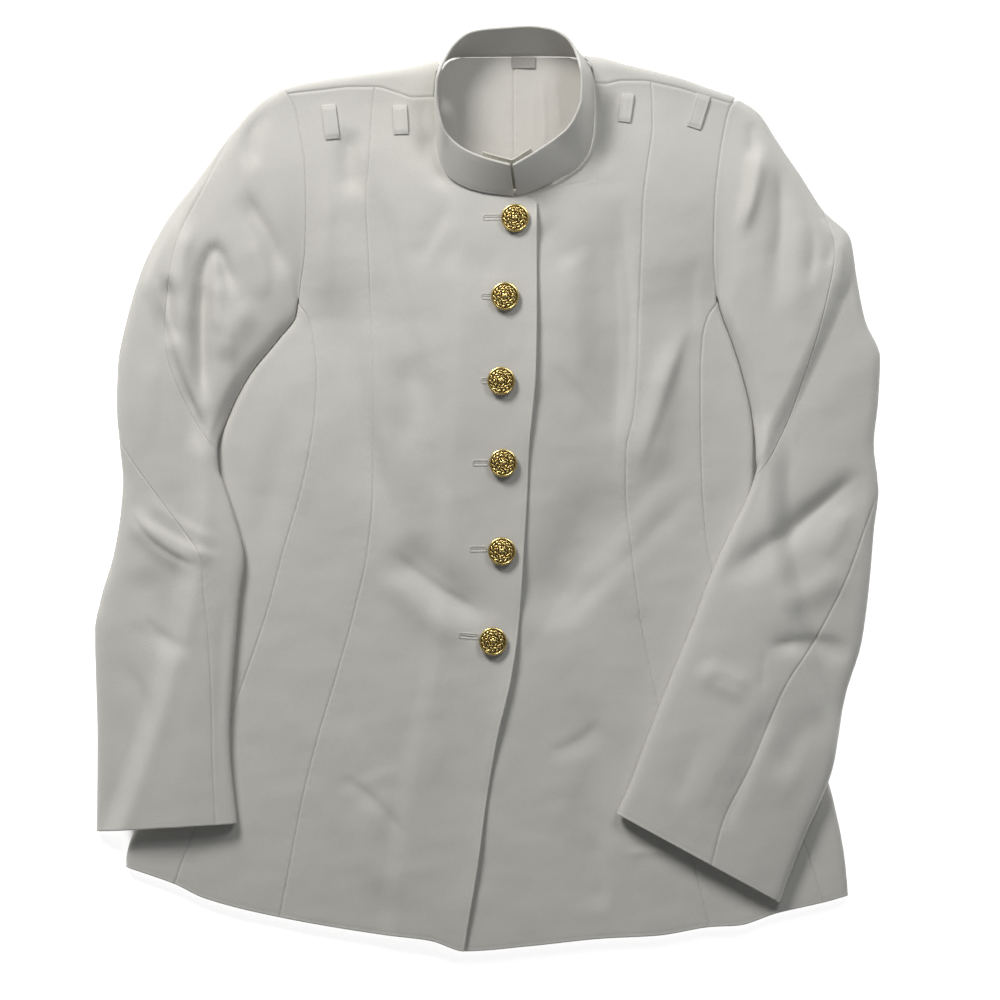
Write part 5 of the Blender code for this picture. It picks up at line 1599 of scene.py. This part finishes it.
def gilt_material():
    """Polished gilt, painted dark in the hollows of its relief as painted shade and a dark painted
    reflection.
    """
    material, shader, add, link = new_material("gilt_brass")
    shader.inputs["Metallic"].default_value = 1.0
    raised = add("ShaderNodeAttribute")
    raised.attribute_name = "raised"
    # The low relief takes the dark colour: painted shade and dark painted reflection in the hollows
    colour = blend(add, link, raised.outputs["Fac"], (0.16, GILT_PAINTED_SHADE), (0.5, GILT_BRIGHT))
    link(colour, shader.inputs["Base Color"])
    wear = noise(add, link, 900.0, 3.0)
    rough = given(add("ShaderNodeMapRange"), To_Min=0.18, To_Max=0.34)
    link(wear, rough.inputs["Value"])
    link(rough.outputs["Result"], shader.inputs["Roughness"])
    bump = raised_by(add, link, wear, 0.2, 0.00008)
    link(bump.outputs["Normal"], shader.inputs["Normal"])
    return material


def thread_material(name, colour, roughness):
    """Twisted sewing thread."""
    material, shader, add, link = new_material(name, roughness)
    twist = noise(add, link, 2400.0, 2.0)
    shade = blend(add, link, twist, (0.0, [c * 0.8 for c in colour]), (1.0, colour))
    link(shade, shader.inputs["Base Color"])
    bump = raised_by(add, link, twist, 0.3, 0.0001)
    link(bump.outputs["Normal"], shader.inputs["Normal"])
    return material


def camera_above():
    """The camera looks straight down on the middle of the tunic."""
    data = bpy.data.cameras.new("camera")
    data.sensor_width = 36.0
    data.lens = 36.0 * (CAMERA_HEIGHT - CAMERA_FOCUS) / CAMERA_VIEW
    data.clip_end = 30.0
    camera = bpy.data.objects.new("camera", data)
    camera.location = (CAMERA_X, CAMERA_Y, CAMERA_HEIGHT)
    bpy.context.scene.collection.objects.link(camera)
    bpy.context.scene.camera = camera


def soft_light(name, position, size, energy, colour):
    data = bpy.data.lights.new(name, "AREA")
    data.shape = "DISK"
    data.size = size
    data.energy = energy
    data.color = colour
    lamp = bpy.data.objects.new(name, data)
    lamp.location = position
    aim = Vector(LIT_POINT) - lamp.location
    lamp.rotation_euler = aim.to_track_quat("-Z", "Y").to_euler()
    bpy.context.scene.collection.objects.link(lamp)


def studio():
    """Pale floor that glows, its glow taken away beside and between the pieces by ambient occlusion as
    painted contact shade; an even white surround and a soft light from the upper left.
    """
    scene = bpy.context.scene
    scene.view_settings.view_transform = "Standard"
    world = bpy.data.worlds.new("surround")
    world.use_nodes = True
    given(world.node_tree.nodes["Background"], Color=(0.96, 0.98, 1.0, 1), Strength=SURROUND)
    scene.world = world
    soft_light("key", KEY_FROM, KEY_SIZE, KEY, (1.0, 0.985, 0.955))
    soft_light("top_light", TOP_LIGHT_FROM, TOP_LIGHT_SIZE, TOP_LIGHT, (0.98, 0.99, 1.0))
    mesh = bpy.data.meshes.new("floor")
    corners = [(x * FLOOR_REACH, y * FLOOR_REACH, FLOOR_LEVEL)
               for x, y in ((-1, -1), (1, -1), (1, 1), (-1, 1))]
    mesh.from_pydata(corners, [], [(0, 1, 2, 3)])
    floor = bpy.data.objects.new("floor", mesh)
    scene.collection.objects.link(floor)
    material, shader, add, link = new_material("pale_floor", 0.9)
    given(shader, Base_Color=(0.93, 0.93, 0.93, 1), Emission_Color=(1, 1, 1, 1))
    # Ambient occlusion takes the floor's glow away in the gaps and beside the cloth: painted contact shade
    painted_contact_shade = given(add("ShaderNodeAmbientOcclusion"), Distance=0.04)
    glow_with_painted_shade = given(add("ShaderNodeMapRange"), From_Min=0.2, From_Max=0.46, To_Max=FLOOR_GLOW)
    link(painted_contact_shade.outputs["AO"], glow_with_painted_shade.inputs["Value"])
    link(glow_with_painted_shade.outputs["Result"], shader.inputs["Emission Strength"])
    mesh.materials.append(material)


camera_above()
studio()
TWILL = cloth_material("white_twill", (0.70, 0.69, 0.66), 0.82, 0.12, 0.35, 0.3)
CREAM = cloth_material("cream_facing", (0.72, 0.70, 0.62), 0.8, 0.1, 0.3, 0.25)
SATIN = cloth_material("white_satin", (0.70, 0.68, 0.65), 0.42, 0.2, 0.12, 0.5)
TAPE = cloth_material("grey_tape", (0.44, 0.42, 0.41), 0.6, 0.1, 0.5, 0.3)
THREAD = thread_material("white_thread", (0.8, 0.79, 0.74), 0.6)
# Dark colour of the painted shade in the buttonhole slits
SLIT_SHADE = thread_material("slit_shade", (0.34, 0.32, 0.29), 0.9)
GILT = gilt_material()
STITCH_TREE = stitch_tree()

opening_right = front_opening_line(True)
opening_left = front_opening_line(False)
front_panel("front_side_right", LINE["seam_right"], LINE["princess_right"], dressed_front, ())
front_panel("front_centre_right", LINE["princess_right"], opening_right, dressed_lap, ("last",))
front_panel("front_centre_left", opening_left, LINE["princess_left"], dressed_front, ("first",))
front_panel("front_side_left", LINE["princess_left"], LINE["seam_left"], dressed_front, ())
underarm_panel("underarm_right", "edge_right", "seam_right", -1)
underarm_panel("underarm_left", "edge_left", "seam_left", 1)
back_panel("back_right", "edge_right", SLEEVE_RIGHT, -1, NECK_STRIP_RIGHT)
back_panel("back_left", "edge_left", SLEEVE_LEFT, 1, NECK_STRIP_LEFT)
for word, rows, side, folds, step, creases in (
        ("right", SLEEVE_RIGHT, -1, SLEEVE_FOLDS_RIGHT, STEP_RIGHT, SLEEVE_RIGHT_CREASES),
        ("left", SLEEVE_LEFT, 1, SLEEVE_FOLDS_LEFT, STEP_LEFT, SLEEVE_LEFT_CREASES)):
    sleeve = Sleeve(rows, "edge_" + word, side, folds, step, creases)
    under = "under_sleeve_" + word
    sleeve.piece(under, "seam_a", "seam_b", (0, 0), ["underarm_" + word])
    sleeve.piece("upper_sleeve_" + word, "seam_b", "seam_a", (0, 1), [under])
    sleeve_stitching(sleeve, word)
collar_band()
collar_underlap()
neck_lining("neck_lining_right", True)
neck_lining("neck_lining_left", False)
hanger_loop()
for node, x, y, width, length, lean in LOOPS:
    shoulder_loop(node, x, y, width, length, lean)
for number, (x, y) in enumerate(BUTTONS, start=1):
    button("button_%d" % number, x, y)
buttonholes()
topstitching()
loop_stitching()
